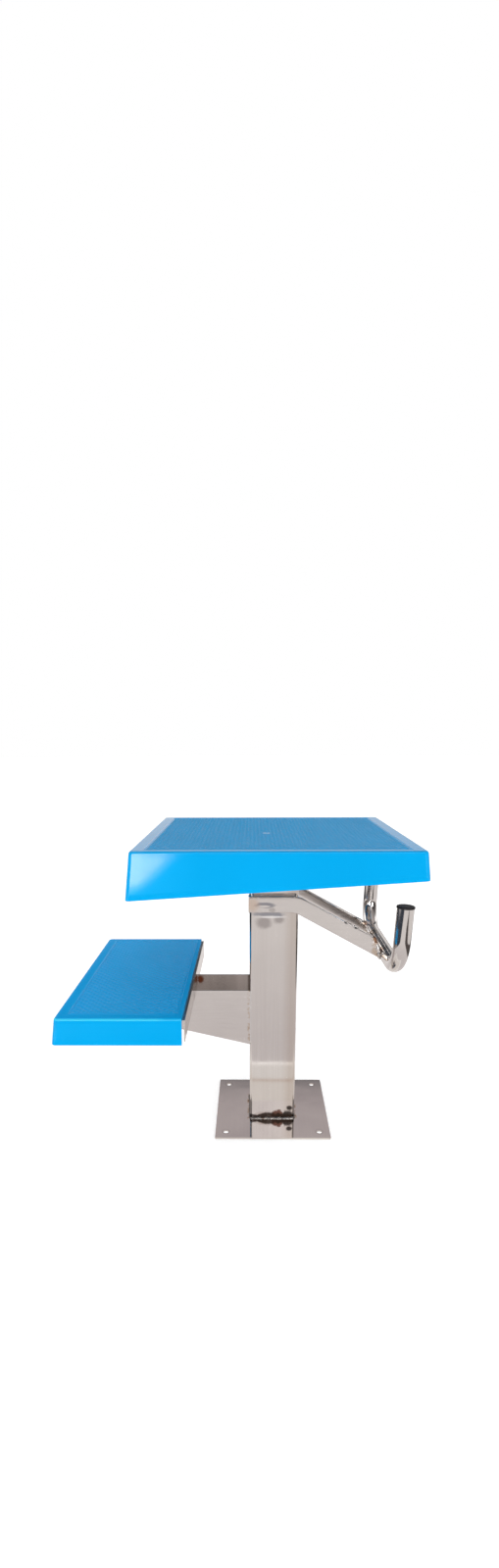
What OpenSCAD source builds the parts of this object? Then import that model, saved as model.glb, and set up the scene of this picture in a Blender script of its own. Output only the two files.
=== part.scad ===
// Swimming-pool starting block: a square post on a floor plate carries a moulded non-slip
// platform, a moulded step at its back, and a U-shaped hand bar for backstroke starts.
// Millimetres. Origin: centre of the floor plate's underside. +Z up, -Y (front) towards the
// pool, +Y (rear) towards the deck, X across. Left is +X, as seen by a swimmer facing the pool.

/* [Floor plate] */
// Side of the square floor plate
plate_w = 250; // [240:5:320]
// Thickness of the floor plate
plate_t = 4; // [3:0.5:10]
// Spacing of the anchor holes, centre to centre, both ways
hole_pitch = 204; // [180:2:210]
// Diameter of the anchor holes
hole_d = 12; // [8:0.5:16]

/* [Post] */
// Side of the square post tube
post_w = 100; // [90:1:104]
// Wall thickness of the post tube
post_t = 3; // [2:0.5:4]
// Outer corner radius of the post tube
post_r = 5; // [3.5:0.5:6]
// Leg of the weld bead round the foot of the post
foot_weld = 4; // [3:0.5:6]

/* [Platform] */
// Height of the platform's top above the floor
top_z = 644; // [630:1:700]
// Width of the platform's top face
deck_w = 500; // [490:5:540]
// Length of the platform's top face
deck_l = 510; // [490:1:540]
// Depth of the skirt at the rear edge
skirt_rear = 83.5; // [70:1:90]
// Depth of the skirt at the pool edge
skirt_front = 50; // [46:0.5:60]
// Outward slope of the side skirts, as width per depth
draft_x = 0.168; // [0.1:0.01:0.2]
// Outward slope of the front and rear skirts, as width per depth
draft_y = 0.09; // [0.08:0.01:0.2]
// Wall of both plastic shells
shell_t = 5; // [4:0.5:6]
// Vertical corner radius of both shells
corner_r = 9; // [8:1:20]
// Rounding of the top edge of both shells
edge_r = 5; // [4:0.5:6]
// Depth of the moulded ribs under the platform
rib_h = 10; // [9.5:0.5:12]

/* [Step] */
// Height of the step's top above the floor
step_z = 337; // [330:1:345]
// Width of the step's top face
step_w = 501; // [490:1:520]
// Where the step begins, measured back from the post's centre
step_y0 = 173.5; // [172:0.5:176]
// Where the step's top face ends
step_y1 = 410; // [400:1:430]
// Depth of the step's skirt
step_skirt = 49; // [42:1:52]
// Depth of the step tray's front flange
flange_h = 40; // [34:1:42]

/* [Hand bar] */
// Outer diameter of the hand bar tube
bar_d = 32; // [28:1:36]
// Wall thickness of the hand bar tube
bar_t = 2; // [1.5:0.5:3]
// Distance between the two upright legs, centre to centre
bar_span = 349; // [330:1:370]
// Centreline bend radius of the hand bar
bend_r = 64; // [50:1:80]
// Distance of the cross tube in front of the post's centre
bar_y = 234; // [234:1:234]
// Height of the cross tube's centre above the floor
bar_z = 398.4; // [398.4:1:398.4]
// Height of the leg ends above the cross tube's centre
leg_h = 128; // [110:1:140]
// Forward lean of the legs, in degrees
lean = 2; // [0:0.5:4]

/* [Arms] */
// Width of the rectangular arm tube
arm_w = 16; // [14:1:20]
// Wall thickness of the arm tube
arm_t = 2; // [1.5:0.5:2.5]
// Height of the arm's underside, beside the post
arm_z0 = 488.5; // [488.5:1:488.5]
// Height of the arm's top, beside the post
arm_z1 = 521.9; // [521.9:1:521.9]

/* [Hidden] */
$fn = 64;

// Finishes
steel = [0.72, 0.70, 0.68];
weld = [0.62, 0.58, 0.54];
blue = [0.05, 0.50, 0.82];
black = [0.05, 0.05, 0.06];
zinc = [0.78, 0.78, 0.80];

// Shared sizes
sliver = 0.01;                       // height of the thin slices used in hulls
over = 1;                            // how far a cut or a joint runs past a face
post_half = post_w / 2;
sheet = 2;                           // folded sheet thickness
fillet_leg = 3;                      // leg of the arm and step tray welds
inner_corner_r = corner_r - 4;       // inside the shells
inner_edge_r = 3;
screw_washer_t = 1.6;

// Platform levels, from the top down
shell_in = top_z - shell_t;          // underside of the platform's top wall
tray_top = shell_in - rib_h;
head_top = tray_top - sheet;         // top of the post head plate, underside of the tray
head_t = 6;
head_bot = head_top - head_t;

// Post head
head_w = 220;
gusset_t = 4;
head_weld = 4;                       // leg of the bead under the head plate

// Head bolts
bolt_places = corners(85);
bolt_d = 10;
bolt_hole_d = 11;
bolt_hex = 17;                       // across flats, heads and nuts
bolt_head_h = 6.4;
bolt_tail = 14.5;                    // length below the head plate
bolt_washer_t = 2;
nut_h = 8;

// Platform tray and shell
tray_half = 238;                     // half the side of the square tray
tray_depth = 27;
tray_corner_gap = 12;                // from each flange's end to the tray's corner
stiffener_y = 165;
rib_places = [-125, -40, 40, 125];   // across and along
rib_t = 3;
boss_d = 16;                         // screw bosses of both shells
deck_bosses = [for (x = [-210, 0, 210], y = [-210, 0, 210]) if (x != 0 || y != 0) [x, y]];

// Arm profile, [y, z]: level beside the post, mitred, then down to the hand bar
arm_rear = post_half;
mitre_top = [-51, arm_z1];
mitre_bottom = [-42.4, arm_z0];
end_top = [-201.8, 437.8];
end_bottom = [-219.4, 390.7];
slope_dir = unit(end_top - mitre_top);
slope_normal = [slope_dir[1], -slope_dir[0]];   // up, out of the sloping top face
end_dir = unit(end_bottom - end_top);
mitre_dir = unit(mitre_bottom - mitre_top);

// Step shell and tray
step_in = step_z - shell_t;          // underside of the step's top wall, top of its tray
step_tray_bot = step_in - sheet;
step_draft_x = 0.18;
step_draft_y = 0.09;
step_bosses = [for (x = [-205, 205, 0], y = [215, 365]) [x, y]];
flange_y = 168;                      // post-side face of the tray's front flange
step_tray_half = step_w / 2 - shell_t - 1.5;
step_tray_rear = step_y1 - 12;
step_tray_depth = 26;                // side and rear flanges
step_weld_l = 30;

// Step bracket
bracket_t = 3;
bracket_z0 = 188.5;                  // underside at the post
bracket_z1 = 313.7;                  // top edge in front of the tray
bracket_rear = 385;
bracket_slope = 0.241;               // rise of the underside per length

// ---------- helpers ----------

function unit(v) = v / norm(v);

// Corners of a square centred on the origin
function corners(half) = [for (x = [-1, 1], y = [-1, 1]) [x * half, y * half]];

module at_points(points, z) {
    for (p = points) translate([p[0], p[1], z]) children();
}

// Rounded rectangle
module rounded_rect(w, l, r) {
    square([w - 2 * r, l], center = true);
    square([w, l - 2 * r], center = true);
    for (x = [-1, 1], y = [-1, 1])
        translate([x * (w / 2 - r), y * (l / 2 - r)]) circle(r);
}

// Disc with its upper edge rounded, underside at z = 0
module edge_disc(r, edge) {
    rotate_extrude($fn = 32)
        intersection() {
            union() {
                square([r - edge, edge]);
                translate([r - edge, 0]) circle(edge, $fn = 32);
            }
            square([r, edge]);
        }
}

// Solid block, w by y0 to y1 at its top face, z = 0. Corners and top edge are rounded, and
// the sides flare down to z = -h by the side, front and rear drafts.
module drafted_block(w, y0, y1, h, side_draft, front_draft, rear_draft, r, edge) {
    // Each end: y of its corner centres at the top, and their shift at the bottom
    ends = [[y0 + r, -front_draft * h], [y1 - r, rear_draft * h]];
    hull()
        for (side = [-1, 1], end = ends) {
            translate([side * (w / 2 - r), end[0], -edge]) edge_disc(r, edge);
            translate([side * (w / 2 + side_draft * h - r), end[0] + end[1], -h])
                cylinder(r = r, h = sliver, $fn = 32);
        }
}

// Outline of [y, z] points, extruded from x0 to x1
module yz_prism(points, x0, x1) {
    translate([x0, 0, 0]) rotate([90, 0, 90]) linear_extrude(x1 - x0) polygon(points);
}

// Holes through a sheet whose top is at z
module sheet_holes(points, z, d) {
    at_points(points, z - 5) cylinder(d = d, h = 10);
}

module hex_prism(across_flats, h) {
    cylinder(d = across_flats / cos(30), h = h, $fn = 6);
}

module washer(outer_d, inner_d, t) {
    difference() {
        cylinder(d = outer_d, h = t);
        translate([0, 0, -over]) cylinder(d = inner_d, h = t + 2 * over);
    }
}

// Pan-head screw with a hexagon socket: shank up and head down from z = 0
module pan_screw(d, head_d, head_h, length) {
    socket_depth = 2;
    overlap = 0.5;                   // shank into head
    translate([0, 0, -head_h]) difference() {
        intersection() {
            cylinder(d = head_d, h = head_h);
            translate([0, 0, head_h]) mirror([0, 0, 1])
                cylinder(r1 = head_d / 2 + 1, r2 = head_d / 2 - 0.8, h = head_h);
        }
        translate([0, 0, -over]) hex_prism(4, socket_depth + over);
    }
    translate([0, 0, -overlap]) cylinder(d = d, h = length + overlap);
}

// Weld bead round the post, wide face on z = 0
module weld_ring(leg) {
    gap = 0.1;                       // lets the narrow end stand clear of the post
    difference() {
        hull() {
            linear_extrude(sliver)
                rounded_rect(post_w + 2 * leg, post_w + 2 * leg, post_r + leg);
            translate([0, 0, leg]) linear_extrude(sliver)
                rounded_rect(post_w + 2 * gap, post_w + 2 * gap, post_r + gap);
        }
        translate([0, 0, -over]) linear_extrude(leg + 2 * over)
            rounded_rect(post_w, post_w, post_r);
    }
}

// Fillet weld in line with the post's left side, running forward from y_rear.
// It stands above z with up = 1 and hangs below it with up = -1.
module side_fillet(y_rear, z, length, up) {
    translate([post_half, y_rear, z]) rotate([90, 0, 0]) linear_extrude(length)
        polygon([[0, 0], [fillet_leg, 0], [0, up * fillet_leg]]);
}

// ---------- floor plate and post ----------

module base_plate() {
    color(steel)
    difference() {
        linear_extrude(plate_t) rounded_rect(plate_w, plate_w, 2);
        at_points(corners(hole_pitch / 2), -over)
            cylinder(d = hole_d, h = plate_t + 2 * over);
    }
}

module post() {
    h = head_bot - plate_t;
    bore = post_w - 2 * post_t;
    color(steel)
    translate([0, 0, plate_t])
    difference() {
        linear_extrude(h) rounded_rect(post_w, post_w, post_r);
        translate([0, 0, -over]) linear_extrude(h + 2 * over)
            rounded_rect(bore, bore, post_r - post_t);
    }
}

module post_foot_weld() {
    color(weld) translate([0, 0, plate_t]) weld_ring(foot_weld);
}

// ---------- post head ----------

module post_head_plate() {
    color(steel)
    difference() {
        translate([0, 0, head_bot]) linear_extrude(head_t) rounded_rect(head_w, head_w, 8);
        at_points(bolt_places, head_bot - over)
            cylinder(d = bolt_hole_d, h = head_t + 2 * over);
    }
}

// One upright gusset in the middle of each side of the post
module head_gussets() {
    tip = head_w / 2 - 6;
    tip_depth = 6;
    depth = 40;
    foot = 5;                        // width of the level lower edge
    color(steel)
    for (angle = [0, 90, 180, 270]) rotate([0, 0, angle])
        translate([0, gusset_t / 2, 0]) rotate([90, 0, 0]) linear_extrude(gusset_t)
            polygon([[post_half, head_bot], [tip, head_bot], [tip, head_bot - tip_depth],
                [post_half + foot, head_bot - depth], [post_half, head_bot - depth]]);
}

// Bead under the head plate, interrupted by the gussets
module post_head_weld() {
    color(weld)
    difference() {
        translate([0, 0, head_bot]) mirror([0, 0, 1]) weld_ring(head_weld);
        for (angle = [0, 90]) rotate([0, 0, angle])
            translate([-80, -gusset_t / 2, head_bot - 60]) cube([160, gusset_t, 60 + over]);
    }
}

// ---------- platform support ----------

// Square sheet pan, open downward, with separate flanges on its four sides
module platform_tray() {
    flange_l = 2 * (tray_half - tray_corner_gap);
    flange_z = tray_top - tray_depth;
    color(steel)
    difference() {
        union() {
            translate([-tray_half, -tray_half, head_top])
                cube([2 * tray_half, 2 * tray_half, sheet]);
            for (edge = [-tray_half, tray_half - sheet]) {
                translate([edge, -flange_l / 2, flange_z]) cube([sheet, flange_l, tray_depth]);
                translate([-flange_l / 2, edge, flange_z]) cube([flange_l, sheet, tray_depth]);
            }
        }
        sheet_holes(bolt_places, tray_top, bolt_hole_d);
        sheet_holes(deck_bosses, tray_top, 7);
    }
}

// Upward-open channel under the tray, running across it
module tray_stiffener(y) {
    length = 430;
    w = 40;
    h = 20;
    translate([-length / 2, y - w / 2, head_top - h]) cube([length, w, sheet]);
    for (edge = [-w / 2, w / 2 - sheet])
        translate([-length / 2, y + edge, head_top - h]) cube([length, sheet, h]);
}

module tray_stiffener_front() { color(steel) tray_stiffener(-stiffener_y); }
module tray_stiffener_rear() { color(steel) tray_stiffener(stiffener_y); }

// Hexagon bolts, heads on top of the tray
module head_bolts() {
    washer_top = tray_top + bolt_washer_t;
    tail_z = head_bot - bolt_tail;
    color(zinc) at_points(bolt_places, 0) {
        translate([0, 0, washer_top]) intersection() {
            hex_prism(bolt_hex, bolt_head_h);
            cylinder(r1 = 13, r2 = 8.6, h = bolt_head_h);
        }
        translate([0, 0, tail_z]) cylinder(d = bolt_d, h = washer_top + over - tail_z);
    }
}

module head_bolt_washers() {
    color(zinc)
    for (z = [tray_top, head_bot - bolt_washer_t])
        at_points(bolt_places, z) washer(20, 10.5, bolt_washer_t);
}

// Nuts with both ends chamfered
module head_bolt_nuts() {
    color(zinc) at_points(bolt_places, head_bot - bolt_washer_t - nut_h)
        difference() {
            intersection() {
                hex_prism(bolt_hex, nut_h);
                cylinder(r1 = 8.9, r2 = 16, h = nut_h);
                translate([0, 0, nut_h]) mirror([0, 0, 1])
                    cylinder(r1 = 8.9, r2 = 16, h = nut_h);
            }
            translate([0, 0, -over]) cylinder(d = bolt_d + 0.1, h = nut_h + 2 * over);
        }
}

// ---------- platform shell ----------

// Everything under the rim line, which rises from the rear skirt to the front one
module under_rim() {
    y_end = 320;
    rear_y = deck_l / 2 + draft_y * skirt_rear;
    rear_z = top_z - skirt_rear;
    rise = (skirt_rear - skirt_front) / (deck_l + draft_y * (skirt_rear + skirt_front));
    floor_z = rear_z - 200;
    yz_prism([[-y_end, rear_z + rise * (rear_y + y_end)], [-y_end, floor_z],
        [y_end, floor_z], [y_end, rear_z + rise * (rear_y - y_end)]], -400, 400);
}

module platform_shell() {
    h = skirt_rear + 6;              // trimmed to the rim line
    y_in = deck_l / 2 - shell_t;
    rib_inset = 3;                   // from the top face's edge to the ribs' ends
    joint_h = rib_h + over;          // ribs and bosses run into the top wall
    roof = 2.5;                      // left above the screw holes
    color(blue)
    difference() {
        union() {
            difference() {
                translate([0, 0, top_z])
                    drafted_block(deck_w, -deck_l / 2, deck_l / 2, h,
                        draft_x, draft_y, draft_y, corner_r, edge_r);
                translate([0, 0, shell_in])
                    drafted_block(deck_w - 2 * shell_t, -y_in, y_in, h,
                        draft_x, draft_y, draft_y, inner_corner_r, inner_edge_r);
            }
            // ribs that stand on the tray
            for (p = rib_places) {
                translate([p - rib_t / 2, -deck_l / 2 + rib_inset, tray_top])
                    cube([rib_t, deck_l - 2 * rib_inset, joint_h]);
                translate([-deck_w / 2 + rib_inset, p - rib_t / 2, tray_top])
                    cube([deck_w - 2 * rib_inset, rib_t, joint_h]);
            }
            at_points(deck_bosses, tray_top) cylinder(d = boss_d, h = joint_h);
        }
        at_points(deck_bosses, tray_top - over)
            cylinder(d = 6.2, h = over + rib_h + shell_t - roof);
        under_rim();
    }
}

module platform_screws() {
    color(zinc) at_points(deck_bosses, head_top - screw_washer_t)
        pan_screw(d = 6, head_d = 12, head_h = 4, length = 14.5);
}

module platform_screw_washers() {
    color(zinc) at_points(deck_bosses, head_top - screw_washer_t)
        washer(18, 6.4, screw_washer_t);
}

// ---------- arms ----------

// Lower x limit of an arm, side = 1 for left and -1 for right
function arm_x(side) = side > 0 ? post_half : -post_half - arm_w;

// Arm outline, [y, z]. At the rear end and the mitre its top and bottom are drawn in by
// inset; at the cut end they are spread by inset. Both ends run on by overrun.
function arm_outline(inset = 0, overrun = 0) = let (
    along_mitre = mitre_dir * (inset / abs(mitre_dir[1])),
    spread = slope_normal * inset,
    past_end = slope_dir * overrun
) [
    [arm_rear + overrun, arm_z1 - inset],
    mitre_top + along_mitre,
    end_top + spread + past_end,
    end_bottom - spread + past_end,
    mitre_bottom - along_mitre,
    [arm_rear + overrun, arm_z0 + inset]
];

module arm(side) {
    x = arm_x(side);
    difference() {
        yz_prism(arm_outline(), x, x + arm_w);
        yz_prism(arm_outline(arm_t, 8), x + arm_t, x + arm_w - arm_t);
    }
}

module arm_left() { color(steel) arm(1); }
module arm_right() { color(steel) arm(-1); }

// Plate that closes the rear end of an arm
module arm_end_plate(side) {
    translate([arm_x(side), arm_rear, arm_z0]) cube([arm_w, 2, arm_z1 - arm_z0]);
}

module arm_end_plate_left() { color(steel) arm_end_plate(1); }
module arm_end_plate_right() { color(steel) arm_end_plate(-1); }

// Fillet welds between the post's side and the arm's top and underside
module arm_weld(side) {
    y_rear = 44;
    mirror([side > 0 ? 0 : 1, 0, 0]) {
        side_fillet(y_rear, arm_z1, 88, 1);
        side_fillet(y_rear, arm_z0, 84, -1);
    }
}

module arm_weld_left() { color(weld) arm_weld(1); }
module arm_weld_right() { color(weld) arm_weld(-1); }

// ---------- hand bar ----------

// Frame of the hand bar: origin at the middle of the cross tube, z along the legs
module lean_frame() {
    translate([0, -bar_y, bar_z]) rotate([lean, 0, 0]) children();
}

// U-shaped rod, legs lengthened by overrun
module u_rod(d, overrun = 0) {
    straight = bar_span / 2 - bend_r;    // half the cross tube between the bends
    rotate([0, 90, 0]) translate([0, 0, -straight]) cylinder(d = d, h = 2 * straight);
    for (m = [0, 1]) mirror([m, 0, 0]) {
        translate([straight, 0, bend_r]) rotate([90, 0, 0]) rotate([0, 0, -90])
            rotate_extrude(angle = 90) translate([bend_r, 0]) circle(d = d);
        translate([straight + bend_r, 0, bend_r]) cylinder(d = d, h = leg_h - bend_r + overrun);
    }
}

module handle_bar() {
    color(steel)
    lean_frame() difference() {
        u_rod(bar_d);
        u_rod(bar_d - 2 * bar_t, over);
    }
}

// Push-in tube cap: flange with a rounded edge, and a hollow plug inside the tube
module handle_cap(side) {
    edge = 1.2;                      // edge rounding, and overhang past the tube
    r = bar_d / 2 + edge;
    flange_t = 4;
    plug_l = 16;
    bore_d = bar_d - 2 * bar_t;
    lean_frame() translate([side * bar_span / 2, 0, leg_h]) {
        rotate_extrude()
            intersection() {
                union() {
                    square([r - edge, flange_t]);
                    square([r, flange_t - edge]);
                    translate([r - edge, flange_t - edge]) circle(edge, $fn = 32);
                }
                square([r + over, flange_t]);
            }
        translate([0, 0, -plug_l]) difference() {
            cylinder(d = bore_d - 0.2, h = plug_l + over);
            translate([0, 0, -over]) cylinder(d = bore_d - 5, h = plug_l - 1);
        }
    }
}

module handle_cap_left() { color(black) handle_cap(1); }
module handle_cap_right() { color(black) handle_cap(-1); }

// Weld between an arm's cut end and the hand bar: a wedge above and a bead below
module handle_weld(side) {
    x = arm_x(side);
    difference() {
        union() {
            yz_prism([end_bottom - end_dir * 2, end_bottom - end_dir * 15,
                [-221, 407.5], [-226, 400]], x, x + arm_w);
            translate([x, end_bottom[0] - 1.5, end_bottom[1] - 2.2]) rotate([0, 90, 0])
                cylinder(r = 3.4, h = arm_w);
        }
        lean_frame() rotate([0, 90, 0]) cylinder(d = bar_d, h = 300, center = true);
        yz_prism(arm_outline(), x - over, x + arm_w + over);
    }
}

module handle_weld_left() { color(weld) handle_weld(1); }
module handle_weld_right() { color(weld) handle_weld(-1); }

// ---------- step ----------

// Lower x limit of the bracket's side plate, side = 1 for left and -1 for right
function bracket_x(side) = side > 0 ? post_half - bracket_t : -post_half;

// Folded channel: two side plates in line with the post's sides, joined along the bottom
// and notched for the tray's front flange
module step_bracket() {
    rear_z = bracket_z0 + bracket_slope * (bracket_rear - post_half);
    notch_y0 = flange_y - 0.2;
    notch_y1 = flange_y + sheet + 0.2;
    notch_z = step_in - flange_h - 0.5;
    side_plate = [[post_half, bracket_z0], [bracket_rear, rear_z],
        [bracket_rear, step_tray_bot], [notch_y1, step_tray_bot], [notch_y1, notch_z],
        [notch_y0, notch_z], [notch_y0, bracket_z1], [post_half, bracket_z1]];
    bottom_plate = [[post_half, bracket_z0], [bracket_rear, rear_z],
        [bracket_rear, rear_z + bracket_t], [post_half, bracket_z0 + bracket_t]];
    color(steel) {
        for (side = [-1, 1])
            yz_prism(side_plate, bracket_x(side), bracket_x(side) + bracket_t);
        yz_prism(bottom_plate, -post_half + bracket_t, post_half - bracket_t);
    }
}

// Upright beads where the bracket's side plates meet the back of the post
module step_bracket_welds() {
    h = bracket_z1 - bracket_z0;
    cut_z = bracket_z0 - over;
    color(weld)
    for (side = [-1, 1]) difference() {
        translate([side * (post_half - 2), post_half - 1, bracket_z0]) cylinder(r = 3, h = h);
        translate([0, 0, cut_z]) linear_extrude(h + 2 * over)
            rounded_rect(post_w, post_w, post_r);
        translate([bracket_x(side), post_half, cut_z]) cube([bracket_t, 20, h + 2 * over]);
        // room for the bottom plate
        translate([-post_half + bracket_t, post_half, cut_z])
            cube([post_w - 2 * bracket_t, 20, bracket_t + 4]);
    }
}

// Folded sheet tray: deep flange on the post side, shallow flanges inside the shell
module step_tray() {
    half = step_tray_half;
    length = step_tray_rear - flange_y;
    corner_gap = 12;
    front_gap = 18;                  // between the front flange's face and the side flanges
    flange_z = step_in - step_tray_depth;
    color(steel)
    difference() {
        union() {
            translate([-half, flange_y, step_tray_bot]) cube([2 * half, length, sheet]);
            // front flange, its ends sloping with the side skirts
            translate([0, flange_y + sheet, 0]) rotate([90, 0, 0]) linear_extrude(sheet)
                polygon([[-half - 1, step_in], [half + 1, step_in],
                    [half + 6, step_in - flange_h], [-half - 6, step_in - flange_h]]);
            for (x = [-half, half - sheet])
                translate([x, flange_y + front_gap, flange_z])
                    cube([sheet, length - front_gap - corner_gap, step_tray_depth]);
            translate([-half + corner_gap, step_tray_rear - sheet, flange_z])
                cube([2 * (half - corner_gap), sheet, step_tray_depth]);
        }
        sheet_holes(step_bosses, step_in, boss_d + 1);
    }
}

// Stitch welds under the tray, along the outside of the bracket's side plates
module step_tray_welds() {
    color(weld)
    for (m = [0, 1], y = [185, 265, 345]) mirror([m, 0, 0])
        side_fillet(y + step_weld_l, step_tray_bot, step_weld_l, -1);
}

// Shell open towards the post, its bosses reaching through the tray
module step_shell() {
    roof = 2;                        // left above the screw holes
    color(blue)
    difference() {
        union() {
            difference() {
                translate([0, 0, step_z])
                    drafted_block(step_w, step_y0 - 60, step_y1, step_skirt,
                        step_draft_x, 0, step_draft_y, corner_r, edge_r);
                translate([0, 0, step_in])
                    drafted_block(step_w - 2 * shell_t, step_y0 - 80, step_y1 - shell_t,
                        step_skirt + 2, step_draft_x, 0, step_draft_y,
                        inner_corner_r, inner_edge_r);
                // cut off everything in front of step_y0
                translate([-400, step_y0 - 100, step_z - 100]) cube([800, 100, 200]);
            }
            at_points(step_bosses, step_tray_bot) cylinder(d = boss_d, h = sheet + over);
        }
        at_points(step_bosses, step_tray_bot - over)
            cylinder(d = 5.2, h = over + sheet + shell_t - roof);
    }
}

module step_screws() {
    color(zinc) at_points(step_bosses, step_tray_bot - screw_washer_t)
        pan_screw(d = 5, head_d = 10, head_h = 3.5, length = screw_washer_t + sheet + 2.4);
}

module step_screw_washers() {
    color(zinc) at_points(step_bosses, step_tray_bot - screw_washer_t)
        washer(24, 5.4, screw_washer_t);
}

base_plate();
post();
post_foot_weld();
post_head_plate();
post_head_weld();
head_gussets();
platform_tray();
tray_stiffener_front();
tray_stiffener_rear();
head_bolts();
head_bolt_washers();
head_bolt_nuts();
platform_shell();
platform_screws();
platform_screw_washers();
arm_left();
arm_right();
arm_end_plate_left();
arm_end_plate_right();
arm_weld_left();
arm_weld_right();
handle_bar();
handle_cap_left();
handle_cap_right();
handle_weld_left();
handle_weld_right();
step_bracket();
step_bracket_welds();
step_tray();
step_tray_welds();
step_shell();
step_screws();
step_screw_washers();
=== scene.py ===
"""Raised blue platform on a square steel post, with a lower step and a hand bar.

The post stands at the origin on a floor plate, +Z up. The step reaches out to the rear (+Y),
two arms hold the hand bar at the front (-Y), and left is +X. Shapes are written in
millimetres, shaders and the studio in metres. The camera looks from -X towards +X.
"""
import bmesh
import bpy
import math
import numpy as np
from mathutils import Matrix, Vector


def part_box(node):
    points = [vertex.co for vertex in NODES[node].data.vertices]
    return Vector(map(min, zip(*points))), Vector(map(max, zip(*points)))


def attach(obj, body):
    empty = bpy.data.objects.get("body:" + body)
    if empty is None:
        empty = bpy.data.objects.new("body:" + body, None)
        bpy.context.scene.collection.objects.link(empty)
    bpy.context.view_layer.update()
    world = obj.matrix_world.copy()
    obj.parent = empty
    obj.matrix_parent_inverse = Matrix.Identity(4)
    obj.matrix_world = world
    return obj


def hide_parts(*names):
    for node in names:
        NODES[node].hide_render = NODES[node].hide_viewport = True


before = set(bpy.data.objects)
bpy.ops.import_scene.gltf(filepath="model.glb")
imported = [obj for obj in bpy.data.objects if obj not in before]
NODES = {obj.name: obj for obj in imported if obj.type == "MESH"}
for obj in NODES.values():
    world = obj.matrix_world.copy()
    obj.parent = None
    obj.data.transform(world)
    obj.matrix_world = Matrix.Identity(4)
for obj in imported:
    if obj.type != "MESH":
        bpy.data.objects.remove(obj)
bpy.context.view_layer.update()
BODY = "root"
MM = 0.001
scene = bpy.context.scene
SIDES = ((1, "left"), (-1, "right"))     # sign of X and label

# sizes taken from the frame
PLATFORM_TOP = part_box("platform_shell")[1].z / MM
STEP_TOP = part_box("step_shell")[1].z / MM
TRAY_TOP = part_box("platform_tray")[1].z / MM
PLATE_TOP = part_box("base_plate")[1].z / MM
POST_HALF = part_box("post")[1].x / MM     # half side of the post


# ------------------------------------------------------------------ mesh helpers
def mesh_data(name, verts, faces):
    """Mesh in metres from points in millimetres."""
    mesh = bpy.data.meshes.new(name)
    mesh.from_pydata([tuple(float(c) * MM for c in v) for v in verts], [], faces)
    mesh.validate()
    mesh.update()
    return mesh


class Form:
    """Vertices and faces gathered from several closed forms, made into one object."""

    def __init__(self):
        self.verts, self.faces = [], []

    def add(self, verts, faces):
        base = len(self.verts)
        self.verts.extend(tuple(float(c) for c in v) for v in verts)
        self.faces.extend(tuple(i + base for i in face) for face in faces)

    def build(self, name, sharp, material, node):
        """Smooth object with edges over `sharp` degrees kept, standing in for a frame node."""
        mesh = mesh_data(name, self.verts, self.faces)
        ob = bpy.data.objects.new(name, mesh)
        scene.collection.objects.link(ob)
        mesh.polygons.foreach_set("use_smooth", [True] * len(mesh.polygons))
        mesh.set_sharp_from_angle(angle=math.radians(sharp))
        bm = bmesh.new()
        bm.from_mesh(mesh)
        bmesh.ops.recalc_face_normals(bm, faces=bm.faces)
        bm.to_mesh(mesh)
        bm.free()
        mesh.materials.append(material)
        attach(ob, BODY)
        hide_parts(node)


def circle(count):
    """Points of the unit circle."""
    angles = [2 * math.pi * i / count for i in range(count)]
    return [(math.cos(a), math.sin(a)) for a in angles]


def lerp(a, b, t):
    return a + (b - a) * t


def loft(rings, closed=False):
    """Rings of equal length joined in order; closed joins the last to the first."""
    n = len(rings[0])
    m = len(rings)
    verts = [p for ring in rings for p in ring]
    faces = []
    for a in range(m if closed else m - 1):
        b = (a + 1) % m
        faces.extend((a * n + i, a * n + (i + 1) % n, b * n + (i + 1) % n, b * n + i)
                     for i in range(n))
    if not closed:
        faces.append(tuple(range(n - 1, -1, -1)))
        faces.append(tuple((m - 1) * n + i for i in range(n)))
    return verts, faces


SIDE_CELLS, CORNER_CELLS = 24, 16        # cells on each side and corner of a rounded ring
QUARTER = SIDE_CELLS + CORNER_CELLS      # from the middle of one corner to the next
RING = 4 * QUARTER


def rounded_ring(x0, x1, y0, y1, r):
    """Rounded rectangle, anticlockwise, starting at the middle of the corner (x0, y0)."""
    pts = []
    corners = [(x0 + r, y0 + r, 180), (x1 - r, y0 + r, 270),
               (x1 - r, y1 - r, 0), (x0 + r, y1 - r, 90)]

    def on_corner(corner, degrees):
        t = math.radians(degrees)
        return corner[0] + r * math.cos(t), corner[1] + r * math.sin(t)

    for i, here in enumerate(corners):
        following = corners[(i + 1) % 4]
        for k in range(CORNER_CELLS // 2, CORNER_CELLS):
            pts.append(on_corner(here, here[2] + 90.0 * k / CORNER_CELLS))
        ax, ay = on_corner(here, here[2] + 90)
        bx, by = on_corner(following, following[2])
        for k in range(SIDE_CELLS):
            t = k / SIDE_CELLS
            pts.append((lerp(ax, bx, t), lerp(ay, by, t)))
        for k in range(CORNER_CELLS // 2):
            pts.append(on_corner(following, following[2] + 90.0 * k / CORNER_CELLS))
    return pts


def zip_chains(verts, chain_a, chain_b):
    """Triangles between two open chains of vertex indices that run the same way."""
    def lengths(chain):
        p = np.array([verts[i] for i in chain], float)
        d = np.r_[0, np.cumsum(np.linalg.norm(np.diff(p, axis=0), axis=1))]
        return d / d[-1]
    ta, tb = lengths(chain_a), lengths(chain_b)
    last_a, last_b = len(chain_a) - 1, len(chain_b) - 1
    i = j = 0
    out = []
    while i < last_a or j < last_b:
        if j == last_b or (i < last_a and ta[i + 1] <= tb[j + 1]):
            out.append((chain_a[i], chain_b[j], chain_a[i + 1]))
            i += 1
        else:
            out.append((chain_a[i], chain_b[j], chain_b[j + 1]))
            j += 1
    return out


def smoothstep(a, b, x):
    t = np.clip((x - a) / (b - a), 0, 1)
    return t * t * (3 - 2 * t)


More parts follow.
